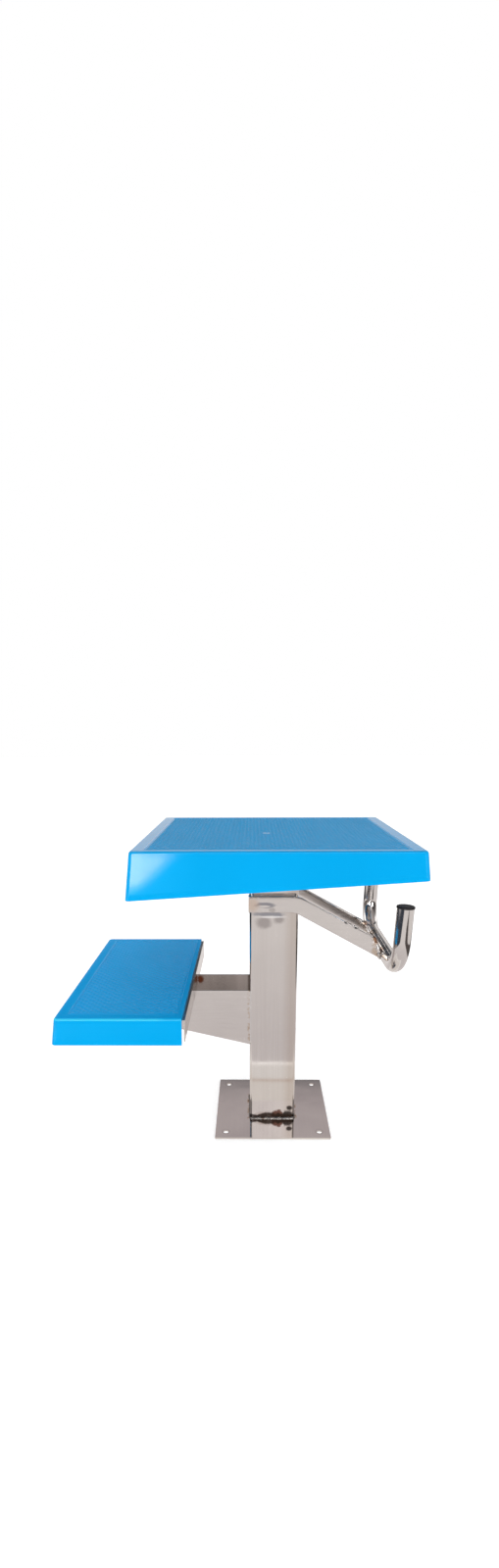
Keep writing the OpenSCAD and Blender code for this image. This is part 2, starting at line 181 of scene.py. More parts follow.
# ------------------------------------------------------------------ node helpers
class Value:
    """Output of a node. Arithmetic adds Math nodes, the methods add the other nodes."""

    def __init__(self, socket):
        self.socket = socket

    def add(self, kind, output, inputs, **settings):
        node = add_node(self.socket.id_data, kind, inputs, **settings)
        return Value(node.outputs[output])

    def math(self, operation, *inputs):
        return self.add("ShaderNodeMath", 0, dict(enumerate(inputs)), operation=operation)

    def __add__(self, other):
        return self.math("ADD", self, other)

    def __radd__(self, other):
        return self.math("ADD", other, self)

    def __sub__(self, other):
        return self.math("SUBTRACT", self, other)

    def __rsub__(self, other):
        return self.math("SUBTRACT", other, self)

    def __mul__(self, other):
        return self.math("MULTIPLY", self, other)

    def __truediv__(self, other):
        return self.math("DIVIDE", self, other)

    def __pow__(self, other):
        return self.math("POWER", self, other)

    def __abs__(self):
        return self.math("ABSOLUTE", self)

    def sqrt(self):
        return self.math("SQRT", self)

    def max(self, other):
        return self.math("MAXIMUM", self, other)

    def ramp(self, span, to=(0.0, 1.0), interpolation="LINEAR"):
        """Map the span onto `to`, held constant outside it."""
        return self.add("ShaderNodeMapRange", 0,
                        {"Value": self, "From Min": span[0], "From Max": span[1],
                         "To Min": to[0], "To Max": to[1]}, interpolation_type=interpolation)

    def ease(self, span, to=(0.0, 1.0)):
        """As ramp, with soft ends."""
        return self.ramp(span, to, "SMOOTHSTEP")

    def xyz(self):
        node = add_node(self.socket.id_data, "ShaderNodeSeparateXYZ", {0: self})
        return [Value(socket) for socket in node.outputs]

    def stretch(self, factors):
        return self.add("ShaderNodeVectorMath", 0, {0: self, 1: factors}, operation="MULTIPLY")

    def noise(self, scale, detail=3.0, rough=0.5, distort=0.0):
        return self.add("ShaderNodeTexNoise", "Fac",
                        {"Vector": self, "Scale": scale, "Detail": detail,
                         "Roughness": rough, "Distortion": distort})

    def bump(self, strength, distance, normal=None):
        inputs = {"Strength": strength, "Distance": distance, "Height": self}
        if normal is not None:
            inputs["Normal"] = normal
        return self.add("ShaderNodeBump", 0, inputs)


def plug(value, socket):
    """Link a Value to an input, or set the input to a number, vector or colour."""
    if isinstance(value, Value):
        socket.id_data.links.new(value.socket, socket)
    elif socket.type == "RGBA":
        socket.default_value = (*value, 1.0)
    else:
        socket.default_value = value


def feed(node, inputs):
    for key, value in inputs.items():
        plug(value, node.inputs[key])


def add_node(tree, kind, inputs=None, **settings):
    node = tree.nodes.new(kind)
    for key, value in settings.items():
        setattr(node, key, value)
    feed(node, inputs or {})
    return node


def mix(factor, under, over, blend="MIX"):
    """Colour mix; 6, 7 and output 2 are the colour sockets of the Mix node."""
    return factor.add("ShaderNodeMix", 2, {"Factor": factor, 6: under, 7: over},
                      data_type="RGBA", blend_type=blend)


def geometry(tree, output="Position"):
    return Value(add_node(tree, "ShaderNodeNewGeometry").outputs[output])


def empty_tree(owner):
    owner.use_nodes = True
    owner.node_tree.nodes.clear()
    return owner.node_tree


def new_material(name):
    """Material with one Principled shader, that shader, and the position in space."""
    material = bpy.data.materials.new(name)
    tree = empty_tree(material)
    shader = add_node(tree, "ShaderNodeBsdfPrincipled")
    add_node(tree, "ShaderNodeOutputMaterial", {0: Value(shader.outputs[0])})
    return material, shader, geometry(tree)


def grey(level):
    return (level, level, level)


def shade(colour, factor):
    return tuple(min(1, c * factor) for c in colour)


def blob(u, v, centre, radii, soft, warp, amount):
    """Soft ellipse mask in the plane of u and v, 1 inside, its edge moved by the warp noise."""
    du = (u - centre[0]) / radii[0]
    dv = (v - centre[1]) / radii[1]
    distance = (du * du + dv * dv).sqrt() + (warp - 0.5) * amount
    return distance.ease((1.0 - soft, 1.0 + soft), (1.0, 0.0))


STRAW, BROWN, SOOT = (0.50, 0.40, 0.30), (0.21, 0.125, 0.085), (0.045, 0.035, 0.030)


def heat_tint(amount, colour):
    """Heat tint of a weld, from straw through brown to near black as amount goes to 1."""
    colour = mix(amount.ease((0.05, 0.35), (0.0, 0.75)), colour, STRAW)
    colour = mix(amount.ease((0.35, 0.65)), colour, BROWN)
    return mix(amount.ease((0.65, 0.95)), colour, SOOT)


# ------------------------------------------------------------------ materials
def steel(name, grain, base=(0.655, 0.628, 0.612), rough=0.08, streak=0.05, wave=0.30,
          wave_scale=14.0, paint=None):
    """Polished stainless. grain = stretch of the noise, small along the grinding direction;
    streak = spread of roughness; wave = strength of the surface's slow unevenness.
    paint(position, colour, roughness) adds local marks and returns colour and roughness."""
    material, shader, position = new_material(name)
    ground = position.stretch(grain)
    fine = ground.noise(1.0, detail=4.0, rough=0.65)
    finer = ground.stretch((2.7, 2.7, 2.7)).noise(1.0, rough=0.7)
    broad = position.noise(9.0, detail=2.0, distort=0.4)
    mottled = position.noise(38.0, rough=0.55)
    colour = mix(broad.ramp((0.35, 0.68)), base, shade(base, 0.95))
    colour = mix(fine.ramp((0.38, 0.78), (0.0, 0.55)), colour, shade(base, 1.07))
    colour = mix(finer.ramp((0.55, 0.80), (0.0, 0.30)), colour, shade(base, 0.84))
    roughness = (fine.ramp((0.3, 0.75), (rough - streak * 0.3, rough + streak))
                 + mottled.ramp((0.42, 0.72), (0.0, 0.03)))
    if paint is not None:
        colour, roughness = paint(position, colour, roughness)
    waves = position.noise(wave_scale, detail=1.5, rough=0.4)
    normal = waves.bump(strength=wave, distance=0.0011)
    normal = fine.bump(strength=0.08, distance=0.00010, normal=normal)
    feed(shader, {"Base Color": colour, "Roughness": roughness, "Metallic": 1.0,
                  "Normal": normal})
    return material


def weld_metal(name, stain=0.0, flank=None):
    """Rippled weld; stain spreads the brown patches, beyond |Y| = flank the metal gets painted
    shade.
    """
    material, shader, position = new_material(name)
    fine = position.noise(240.0, rough=0.6)
    patches = position.noise(60.0, rough=0.6, distort=0.5)
    colour = mix(fine.ramp((0.35, 0.7)), (0.47, 0.445, 0.425), (0.27, 0.245, 0.225))
    stained = patches.ease((0.52 - stain * 0.2, 0.70 - stain * 0.2), (0.0, 0.9))
    colour = mix(stained, colour, (0.17, 0.105, 0.07))
    # painted shade: the bead is darker on its ±Y sides
    if flank:
        y = position.xyz()[1]
        colour = mix(abs(y).ease((flank - 0.0015, flank), (0.0, 0.85)), colour,
                     (0.10, 0.075, 0.062))
    feed(shader, {"Base Color": colour, "Roughness": fine.ramp((0.3, 0.7), (0.18, 0.38)),
                  "Metallic": 1.0, "Normal": fine.bump(strength=0.35, distance=0.0004)})
    return material


def blue_plastic(name):
    base = (0.0005, 0.355, 0.755)
    material, shader, position = new_material(name)
    cloud = position.noise(5.0)
    grain = position.noise(900.0, detail=2.0)
    peel = position.noise(260.0, detail=2.0, rough=0.45)
    scuff = position.stretch((14.0, 170.0, 60.0)).noise(1.0, detail=5.0, rough=0.75)
    fleck = position.noise(70.0, detail=5.0, rough=0.8)
    colour = mix(cloud.ramp((0.35, 0.65)), base, shade(base, 0.95))
    colour = mix(grain.ramp((0.35, 0.65), (0.0, 0.35)), colour, (0.004, 0.375, 0.775))
    colour = mix(fleck.ease((0.70, 0.80), (0.0, 0.10)), colour, (0.25, 0.55, 0.85))

    # masks: the skirts' side faces, faces that look up, and the step (low)
    x, y, z = position.xyz()
    nx, ny, nz = geometry(shader.id_data, "Normal").xyz()
    face = abs(nx).ease((0.93, 0.98))
    top = nz.ease((0.55, 0.85))
    low = z.ramp((0.50, 0.45))
    # painted sheen: a wedge at the rear of the platform's -X skirt, behind a slanting line, where
    # the reflection is made stronger and white
    wedge = y - (0.160 + (0.644 - z) * 1.09)
    wedge = wedge.ease((-0.014, 0.030)) * z.ease((0.566, 0.598), (0.12, 1.0))
    wedge = wedge * (face * nx.ramp((-0.5, -0.6)))
    # painted shade: the skirts' flat side faces a little darker
    colour = mix(face * 0.9, colour, grey(0.955), "MULTIPLY")
    # painted shade on the platform's top, painted light on the step's top
    top_light_shade = mix(low, (1.0, 0.89, 0.885), (1.0, 1.08, 1.12))
    colour = mix(top, colour, top_light_shade, "MULTIPLY")
    # painted highlight along the step's rounded top edge on its -X side
    ridge_highlight = nz.ease((0.20, 0.42)) * nz.ease((0.97, 0.86))
    ridge_highlight = ridge_highlight * low * x.ramp((-0.2380, -0.2420))
    ridge_highlight = ridge_highlight * y.ease((0.200, 0.225), (0.45, 1.0))
    colour = mix(ridge_highlight * 0.75, colour, (0.050, 0.62, 0.84))

    # reflection level: lower on the tops except the platform's rear border, higher on the wedge
    border = y.ramp((0.226, 0.231)) * z.ramp((0.45, 0.50))
    level = 0.29 - top * (0.17 - border * 0.23)
    level = level + wedge * 0.55
    normal = position.noise(14.0, detail=2.0, rough=0.4).bump(strength=0.12, distance=0.0015)
    feed(shader, {
        "Base Color": colour,
        "Roughness": (peel.ramp((0.3, 0.7), (0.12, 0.16))
                      + scuff.ease((0.60, 0.80), (0.0, 0.12))),
        "IOR": 1.46,
        "Specular IOR Level": level,
        "Specular Tint": mix(face * (1.0 - wedge), grey(1.0), (0.10, 0.55, 0.80)),
        "Normal": peel.bump(strength=0.05, distance=0.0002, normal=normal)})
    return material


def black_plastic(name):
    material, shader, position = new_material(name)
    fine = position.noise(700.0, rough=0.6)
    cloud = position.noise(40.0)
    feed(shader, {
        "Base Color": mix(cloud.ramp((0.3, 0.7)), (0.010, 0.009, 0.011), (0.019, 0.017, 0.019)),
        "Roughness": fine.ramp((0.3, 0.7), (0.42, 0.58)),
        "Specular IOR Level": 0.3,
        "Normal": fine.bump(strength=0.25, distance=0.0002)})
    return material


def fastener_metal(name):
    material, shader, position = new_material(name)
    fine = position.noise(320.0, rough=0.6)
    feed(shader, {
        "Base Color": mix(fine.ramp((0.3, 0.7)), (0.66, 0.66, 0.67), (0.55, 0.55, 0.56)),
        "Roughness": fine.ramp((0.3, 0.7), (0.22, 0.36)),
        "Metallic": 1.0,
        "Normal": fine.bump(strength=0.2, distance=0.0002)})
    return material


def paint_post(position, colour, roughness):
    x, y, z = position.xyz()
    # long faint bands up the tube
    band = position.stretch((34.0, 34.0, 0.8)).noise(1.0, rough=0.6)
    colour = mix(band.ramp((0.40, 0.66), (0.0, 0.35)), colour, (0.58, 0.545, 0.525))
    thin = position.stretch((190.0, 190.0, 1.2)).noise(1.0, rough=0.6)
    colour = mix(thin.ramp((0.55, 0.75), (0.0, 0.22)), colour, (0.58, 0.54, 0.51))
    # painted shade: darker towards the front edge of the two X faces
    edge = (y * -1.0).ease((0.0325, 0.0355), (0.0, 0.55)).max(
        (y * -1.0).ease((0.014, 0.037), (0.0, 0.46)))
    edge = edge * abs(x).ramp((0.0485, 0.0495))
    colour = mix(edge, colour, (0.50, 0.435, 0.385))

    # darker smears below the arms, on the X faces, and a painted reflection of the arm's underside
    warp = position.noise(60.0, rough=0.6)
    side = abs(x).ramp((0.0485, 0.0495))

    def patch(mask, strength, tint):
        return mix(mask * side * strength, colour, tint)

    smears = blob(y, z, (0.021, 0.464), (0.014, 0.013), soft=0.45, warp=warp, amount=0.8).max(
        blob(y, z, (-0.010, 0.470), (0.010, 0.008), soft=0.5, warp=warp, amount=0.8))
    colour = patch(smears, 0.72, (0.31, 0.285, 0.28))
    # painted reflection of the arm's underside: a dark streak just below it
    streak = blob(y, z, (0.013, 0.4815), (0.030, 0.0042), soft=0.4, warp=warp, amount=0.9).max(
        blob(y, z, (-0.006, 0.4800), (0.010, 0.0055), soft=0.4, warp=warp, amount=0.9))
    colour = patch(streak, 0.82, (0.25, 0.26, 0.30))
    # painted highlight: a bright line under the streak, part of the same painted reflection
    bright = blob(y, z, (0.006, 0.4755), (0.026, 0.0022), soft=0.5, warp=warp, amount=0.6)
    colour = patch(bright, 0.8, (0.86, 0.86, 0.87))

    # heat tint round the foot, and bigger stains on the X faces
    h = z - PLATE_TOP * MM
    uneven = position.stretch((42.0, 42.0, 30.0)).noise(1.0, detail=4.0, rough=0.6, distort=0.3)
    fine = position.noise(130.0, detail=4.0, rough=0.65)
    reach = uneven.ramp((0.38, 0.62), (0.0085, 0.0165))
    foot = ((h - (fine - 0.5) * 0.006) / reach).ease((0.7, 1.25), (1.0, 0.0))
    halo = blob(y, h, (0.016, 0.004), (0.020, 0.012), soft=0.5, warp=fine, amount=1.2)
    colour = patch(halo, 0.60, (0.26, 0.17, 0.13))
    rust = blob(y, h, (-0.012, 0.008), (0.0135, 0.0135), soft=0.22, warp=fine, amount=1.1)
    colour = patch(rust, 0.94, (0.125, 0.048, 0.030))
    dark = blob(y, h, (-0.035, 0.006), (0.0125, 0.0145), soft=0.22, warp=fine, amount=1.0).max(
        blob(y, h, (-0.0385, 0.0270), (0.0070, 0.0055), soft=0.3, warp=fine, amount=1.2))
    colour = patch(dark, 0.94, (0.026, 0.018, 0.015))
    colour = mix(foot * fine.ramp((0.30, 0.50), (0.80, 0.97)), colour, (0.030, 0.020, 0.015))
    return colour, roughness + foot * 0.05


def paint_plate(position, colour, roughness):
    x, y, z = position.xyz()
    # heat tint round the post
    from_axis = abs(x).max(abs(y))
    fine = position.noise(60.0, detail=4.0, rough=0.6)
    heat = from_axis.ramp((0.0535, 0.058), (1.0, 0.0)) * fine.ramp((0.45, 0.65), (0.0, 0.7))
    colour = heat_tint(heat, colour)
    cloud = position.stretch((7.0, 7.0, 7.0)).noise(1.0, detail=2.0, distort=0.6)
    colour = mix(cloud.ramp((0.45, 0.70), (0.0, 0.40)), colour, (0.52, 0.485, 0.49))
    # a dull spot near each corner
    spot = 0.102
    for spot_x in (-spot, spot):
        for spot_y in (-spot, spot):
            distance = ((x - spot_x) ** 2.0 + (y - spot_y) ** 2.0).sqrt()
            colour = mix(distance.ease((0.0060, 0.0110), (0.45, 0.0)), colour,
                         (0.36, 0.33, 0.33))
    return colour, roughness


# Y of each short black dash, half length, and whether it is on the left arm's inner edge
# (otherwise on the right arm's outer edge)
EDGE_DASHES = ((-0.1463, 0.0046, False), (-0.1660, 0.0040, False),
         (-0.1850, 0.0056, True), (-0.2010, 0.0040, True))
# top edge of the sloping arm: a point on it, its rise per Y, and its cosine and sine
SLOPE_Y, SLOPE_Z, SLOPE_RISE = -0.051, 0.5219, 0.5577
SLOPE_COS, SLOPE_SIN = 0.873, 0.488


def paint_arm(position, colour, roughness):
    x, y, z = position.xyz()
    warp = position.noise(60.0, rough=0.6)
    fine = position.noise(110.0, detail=4.0, rough=0.65)
    outer = abs(x).ramp((0.0645, 0.0655))
    # polishing swirl on the outer face at the rear end, with a clear middle and a tail
    swirl = blob(y, z, (0.018, 0.5045), (0.020, 0.0058), soft=0.28, warp=warp, amount=0.7)
    middle = blob(y, z, (0.021, 0.5020), (0.013, 0.0024), soft=0.35, warp=warp, amount=0.7)
    colour = mix(swirl * (1.0 - middle) * outer * 0.84, colour, (0.23, 0.235, 0.27))
    tail = blob(y, z, (0.004, 0.4945), (0.006, 0.0050), soft=0.4, warp=warp, amount=0.8)
    colour = mix(tail * outer * 0.55, colour, (0.36, 0.34, 0.33))
    # straw tint beside the post
    straw = blob(y, z, (0.044, 0.505), (0.012, 0.014), soft=0.6, warp=fine, amount=0.8)
    colour = mix(straw * outer * 0.6, colour, (0.60, 0.46, 0.36))
    # short black dashes along the top edges
    for dash_y, half, on_left in EDGE_DASHES:
        dash_z = SLOPE_Z + (dash_y - SLOPE_Y) * SLOPE_RISE
        along = (y - dash_y) * SLOPE_COS + (z - dash_z) * SLOPE_SIN
        above = (z - dash_z) * SLOPE_COS - (y - dash_y) * SLOPE_SIN
        length_mask = (abs(along) + fine * 0.007).ease((half, half + 0.0042), (1.0, 0.0))
        height_mask = (above + fine * 0.003).ease((-0.0022, -0.0006))
        if on_left:
            arm_mask = x.ramp((0.0530, 0.0512)) * x.ramp((0.0, 0.01))
        else:
            arm_mask = x.ramp((-0.0615, -0.0635))
        colour = mix(length_mask * (height_mask * arm_mask) * 0.9, colour,
                     (0.035, 0.030, 0.030))
    # heat tint at the cut end
    heat = y.ramp((-0.196, -0.2165)) * fine.ramp((0.35, 0.62), (0.15, 0.85))
    return heat_tint(heat, colour), roughness


def paint_bar(position, colour, roughness):
    """Heat tint where the arms meet the bar, and a duller lower part."""
    x, y, z = position.xyz()
    fine = position.noise(120.0, detail=4.0, rough=0.65)
    from_arm = abs(abs(x) - 0.058)
    near = from_arm.ramp((0.008, 0.020), (1.0, 0.0)) * y.ramp((-0.236, -0.224))
    near = near * z.ramp((0.425, 0.412))
    colour = heat_tint(near * fine.ramp((0.35, 0.60), (0.15, 0.8)), colour)
    return colour, roughness + z.ease((0.452, 0.420), (0.0, 0.085))


def rust_spot(y, z, warp):
    """Spot high on the bracket plates, near their rear end."""
    return blob(y, z, (0.1625, 0.3035), (0.0075, 0.0085), soft=0.4, warp=warp, amount=0.9)


def paint_sheet(position, colour, roughness):
    """Heat tint where the plates meet the flange and the post, and the rust spot at +X."""
    x, y, z = position.xyz()
    fine = position.noise(110.0, detail=4.0, rough=0.65)
    heat = y.ramp((0.148, 0.166)) * z.ramp((0.282, 0.309))
    heat = heat * abs(x).ramp((0.0494, 0.0486))
    colour = mix(heat * fine.ramp((0.30, 0.55), (0.3, 1.0)), colour, (0.22, 0.075, 0.035))
    heat = y.ramp((0.058, 0.050)) * fine.ramp((0.40, 0.65), (0.0, 0.6))
    colour = heat_tint(heat, colour)
    spot = rust_spot(y, z, fine) * x.ramp((0.0, 0.01), (0.0, 0.95))
    return mix(spot, colour, (0.20, 0.055, 0.022)), roughness


def add_bounce_light(material):
    """Soft light handed on between the bracket's facing plates."""
    shader = material.node_tree.nodes["Principled BSDF"]
    position = geometry(material.node_tree)
    x, y, z = position.xyz()
    inside = abs(x).ramp((0.0476, 0.0472)) * y.ramp((0.0515, 0.056))
    bands = position.stretch((3.0, 22.0, 3.0)).noise(1.0, rough=0.6)
    level = bands.ramp((0.35, 0.68), (0.55, 1.0)) * z.ramp((0.190, 0.3135), (0.05, 0.150))
    fine = position.noise(110.0, detail=4.0, rough=0.65)
    glow = mix(rust_spot(y, z, fine), (1.0, 0.86, 0.80), (0.42, 0.13, 0.06))
    feed(shader, {"Emission Color": glow, "Emission Strength": inside * level})


def paint_handle_weld(position, colour, roughness):
    x, y, z = position.xyz()
    fine = position.noise(170.0, detail=4.0, rough=0.6)
    patches = position.noise(55.0, rough=0.6, distort=0.4)
    colour = mix(fine.ease((0.50, 0.72), (0.0, 0.55)), colour, (0.40, 0.37, 0.35))
    # brown at the upper end of the seam, paler brown away from its middle
    upper = z.ease((0.418, 0.428)) * patches.ramp((0.36, 0.52), (0.2, 1.0))
    colour = mix(upper, colour, (0.27, 0.135, 0.075))
    ends = abs(z - 0.399).ramp((0.0, 0.012)) * patches.ramp((0.52, 0.66), (0.0, 0.8))
    return mix(ends, colour, (0.33, 0.24, 0.18)), roughness


M_POST = steel("post_steel", grain=(300.0, 300.0, 5.0), rough=0.055, wave=0.22,
               paint=paint_post)
M_PLATE = steel("plate_steel", grain=(6.0, 260.0, 260.0), rough=0.045, streak=0.04, wave=0.16,
                paint=paint_plate)
M_ARM = steel("arm_steel", grain=(300.0, 9.0, 220.0), rough=0.10, streak=0.06, wave=0.20,
              paint=paint_arm)
M_BAR = steel("bar_steel", grain=(30.0, 260.0, 260.0), rough=0.045, streak=0.04, wave=0.10,
              paint=paint_bar)
M_SHEET = steel("sheet_steel", grain=(260.0, 7.0, 240.0), rough=0.11, wave=0.25,
                paint=paint_sheet)
add_bounce_light(M_SHEET)
M_FLANGE = steel("flange_steel", grain=(6.0, 240.0, 260.0), rough=0.13, wave=0.20)
M_WELD = weld_metal("weld_metal", flank=0.0495)
M_WELD_TINTED = weld_metal("weld_metal_tinted", stain=1.0)
M_WELD_GROUND = steel("weld_ground", grain=(120.0, 120.0, 120.0), rough=0.15, wave=0.5,
                      base=(0.64, 0.62, 0.61))
M_TRAY = steel("tray_steel", grain=(9.0, 220.0, 220.0), base=(0.50, 0.485, 0.475), rough=0.22)
M_BLUE = blue_plastic("blue_plastic")
M_BLACK = black_plastic("black_plastic")
M_FASTENER = fastener_metal("fastener_steel")
M_WELD_HANDLE = steel("handle_weld_steel", grain=(90.0, 90.0, 90.0), rough=0.13, wave=0.5,
                      wave_scale=120.0, base=(0.70, 0.675, 0.655), paint=paint_handle_weld)

# ------------------------------------------------------------------ moulded shells
STUD_PITCH = 10.5       # along the diagonals
STUD_HEIGHT = 0.95
PANEL_SINK = 0.35       # the panel's ground lies this far under the border
SHELL_T = 5.0           # wall thickness
CORNER_R = 9.0          # corners in plan
EDGE_R = 5.0            # rounded top edge
INNER_R = 3.0           # added to EDGE_R for the rounding under the top
INNER_CORNER_R = CORNER_R - 4
# lip round the panel: offset from the panel, height over the border, corner radius
LIP = ((0.7, -PANEL_SINK, 0.7), (1.0, 0.15, 1.0), (1.4, 0.42, 1.4), (1.9, 0.5, 1.9),
       (2.4, 0.42, 2.4), (2.9, 0.12, 2.9), (3.5, 0.0, 3.5), (6.0, 0.0, 5.0))
LIP_REACH, LIP_CORNER_R = LIP[-1][0], LIP[-1][2]


def tread(x, y, cx, cy, hx, hy, marks):
    """Height of the moulded panel over the border: low diamond studs in diagonal rows.
    Each mark (x, y, radius) is a flat disc with a slight rim that interrupts the studs."""
    u = (x - cx + y - cy) / math.sqrt(2) / STUD_PITCH
    v = (x - cx - y + cy) / math.sqrt(2) / STUD_PITCH
    from_groove_u = 1 - 2 * np.abs(u - np.floor(u) - 0.5)
    from_groove_v = 1 - 2 * np.abs(v - np.floor(v) - 0.5)
    stud = smoothstep(0.06, 0.72, from_groove_u) * smoothstep(0.06, 0.72, from_groove_v)
    edge = np.minimum(hx - np.abs(x - cx), hy - np.abs(y - cy))
    stud = stud * smoothstep(0.6, 2.6, edge)
    for mark_x, mark_y, mark_r in marks:
        d = np.hypot(x - mark_x, y - mark_y)
        outside = smoothstep(mark_r - 1.5, mark_r + 1.5, d)
        stud = stud * outside + (1 - outside) * 0.45
        stud = stud + 0.25 * np.exp(-((d - mark_r) / 1.1) ** 2)
    return -PANEL_SINK + STUD_HEIGHT * stud


def shell_mesh(half_width, y0, y1, top, height, draft, rim_level, panel, marks=()):
    """Drafted, rounded moulded shell with a panel of studs.
    draft = outward slope of the X, -Y and +Y walls; rim_level(y) = Z of the lower edge;
    panel = (x0, x1, y0, y1)."""
    px0, px1, py0, py1 = panel
    hx, hy = (px1 - px0) / 2, (py1 - py0) / 2
    cell = STUD_PITCH * math.sqrt(2) / 12
    gx, gy = int(round(2 * hx / cell)), int(round(2 * hy / cell))
    x, y = np.meshgrid(np.linspace(px0, px1, gx + 1), np.linspace(py0, py1, gy + 1))
    z = top + tread(x, y, (px0 + px1) / 2, (py0 + py1) / 2, hx, hy, marks)
    verts = [tuple(p) for p in np.stack([x, y, z], -1).reshape(-1, 3)]
    faces = []
    row = gx + 1
    for j in range(gy):
        start = j * row
        faces.extend((start + i, start + i + 1, start + row + i + 1, start + row + i)
                     for i in range(gx))
    borders = [list(range(row)), [j * row + gx for j in range(gy + 1)],
               [gy * row + i for i in range(gx, -1, -1)], [j * row for j in range(gy, -1, -1)]]
    rings = []

    def add_ring(outline, levels):
        base = len(verts)
        verts.extend((p[0], p[1], level) for p, level in zip(outline, levels))
        rings.append(list(range(base, base + RING)))

    def add_flat_ring(x0, x1, ya, yb, radius, level):
        add_ring(rounded_ring(x0, x1, ya, yb, radius), [level] * RING)

    for offset, rise, radius in LIP:
        add_flat_ring(px0 - offset, px1 + offset, py0 - offset, py1 + offset, radius, top + rise)
    # triangles from the stud grid to the first ring of the lip
    for i, border in enumerate(borders):
        part = [rings[0][k % RING] for k in range(i * QUARTER, (i + 1) * QUARTER + 1)]
        faces.extend((p, r, q) for p, q, r in zip_chains(verts, border, part))

    # flat border, then the rounded top edge
    x_in = half_width - EDGE_R
    for k in (0.35, 0.7):
        add_flat_ring(lerp(px0 - LIP_REACH, -x_in, k), lerp(px1 + LIP_REACH, x_in, k),
                      lerp(py0 - LIP_REACH, y0 + EDGE_R, k),
                      lerp(py1 + LIP_REACH, y1 - EDGE_R, k),
                      lerp(LIP_CORNER_R, CORNER_R - EDGE_R, k), top)
    for k in range(9):
        a = math.radians(90.0 * k / 8)
        inset = EDGE_R - EDGE_R * math.sin(a)
        add_flat_ring(-half_width + inset, half_width - inset, y0 + inset, y1 - inset,
                      CORNER_R - inset, top - EDGE_R + EDGE_R * math.cos(a))

    def wall(radius, inset):
        """Outline as a function of the depth of each of its points under the top."""
        def outline(half, ya, yb):
            return np.array(rounded_ring(-half + inset, half - inset, ya + inset, yb - inset,
                                         radius))
        upper = outline(half_width, y0, y1)
        lower = outline(half_width + draft[0] * height, y0 - draft[1] * height,
                        y1 + draft[2] * height)
        return lambda depth: lerp(upper, lower, ((depth - EDGE_R) / (height - EDGE_R))[:, None])

    def rim_depth(wall_at, lift):
        """Depth of the rim at each point, less lift; the outline shifts with the depth."""
        depth = np.full(RING, 60.0)
        for _ in range(8):
            depth = top - np.array([rim_level(v) for v in wall_at(depth)[:, 1]]) - lift
        return depth

    outer = wall(CORNER_R, 0.0)
    rim = rim_depth(outer, 1.0)
    for k in range(1, 8):
        depth = EDGE_R + (rim - EDGE_R) * k / 7.0
        add_ring(outer(depth), top - depth)
    # rounded rim edge, flat rim, rounded inner edge: inset and lift
    for inset, lift in ((0.3, 0.3), (1.0, 0.0), (SHELL_T - 1.0, 0.0), (SHELL_T - 0.3, 0.3)):
        rim_wall = wall(CORNER_R - inset, inset)
        depth = rim_depth(rim_wall, lift)
        add_ring(rim_wall(depth), top - depth)
    inner = wall(INNER_CORNER_R, SHELL_T)
    rim = rim_depth(inner, 1.0)
    inner_top = SHELL_T + INNER_R + EDGE_R
    for k in range(7):
        depth = rim + (inner_top - rim) * k / 6.0
        add_ring(inner(depth), top - depth)
    # rounding under the top
    base = inner(np.full(RING, inner_top))
    round_r = INNER_R + EDGE_R
    for k in range(1, 6):
        a = math.radians(90.0 * k / 5)
        inset = round_r * (1 - math.cos(a))
        add_flat_ring(base[:, 0].min() + inset * 0.6, base[:, 0].max() - inset * 0.6,
                      base[:, 1].min() + inset * 0.6, base[:, 1].max() - inset * 0.6,
                      max(INNER_CORNER_R - inset * 0.3, 3),
                      top - SHELL_T - round_r + round_r * math.sin(a))
    for a, b in zip(rings[:-1], rings[1:]):
        faces.extend((a[i], b[i], b[(i + 1) % RING], a[(i + 1) % RING]) for i in range(RING))
    faces.append(tuple(reversed(rings[-1])))
    return verts, faces


def rib_form(start, end, z0, z1):
    """Drafted moulded rib from start to end, narrower and rounded at its lower edge."""
    low_half, high_half, r = 2.6 / 2, 3.4 / 2, 0.7
    start, end = np.array(start, float), np.array(end, float)
    along = (end - start) / np.linalg.norm(end - start)
    across = np.array([-along[1], along[0]])
    profile = [(-high_half, z1), (-low_half - 0.1, z0 + r),
               (-low_half + r * 0.3, z0 + r * 0.3), (-low_half + r, z0),
               (low_half - r, z0), (low_half - r * 0.3, z0 + r * 0.3),
               (low_half + 0.1, z0 + r), (high_half, z1)]
    rings = []
    for k in range(9):
        c = start + (end - start) * k / 8.0
        rings.append([(c[0] + across[0] * a, c[1] + across[1] * a, z) for a, z in profile])
    return loft(rings)


def boss_form(x, y, z0, z1, hole, depth):
    """Screw boss with a blind hole from below, a little wider at its root."""
    r = 8.0
    profile = [(r + 1.6, z1), (r + 0.5, z1 - 1.2), (r + 0.1, z1 - 3.0), (r - 0.1, z0 + 0.5),
               (r - 0.5, z0), (hole + 0.5, z0), (hole, z0 + 0.5), (hole, z0 + depth)]
    return loft([[(x + radius * c, y + radius * s, z) for c, s in circle(40)]
                 for radius, z in profile])


ROOT_SINK = 0.8          # ribs and bosses reach this far into the underside of the top


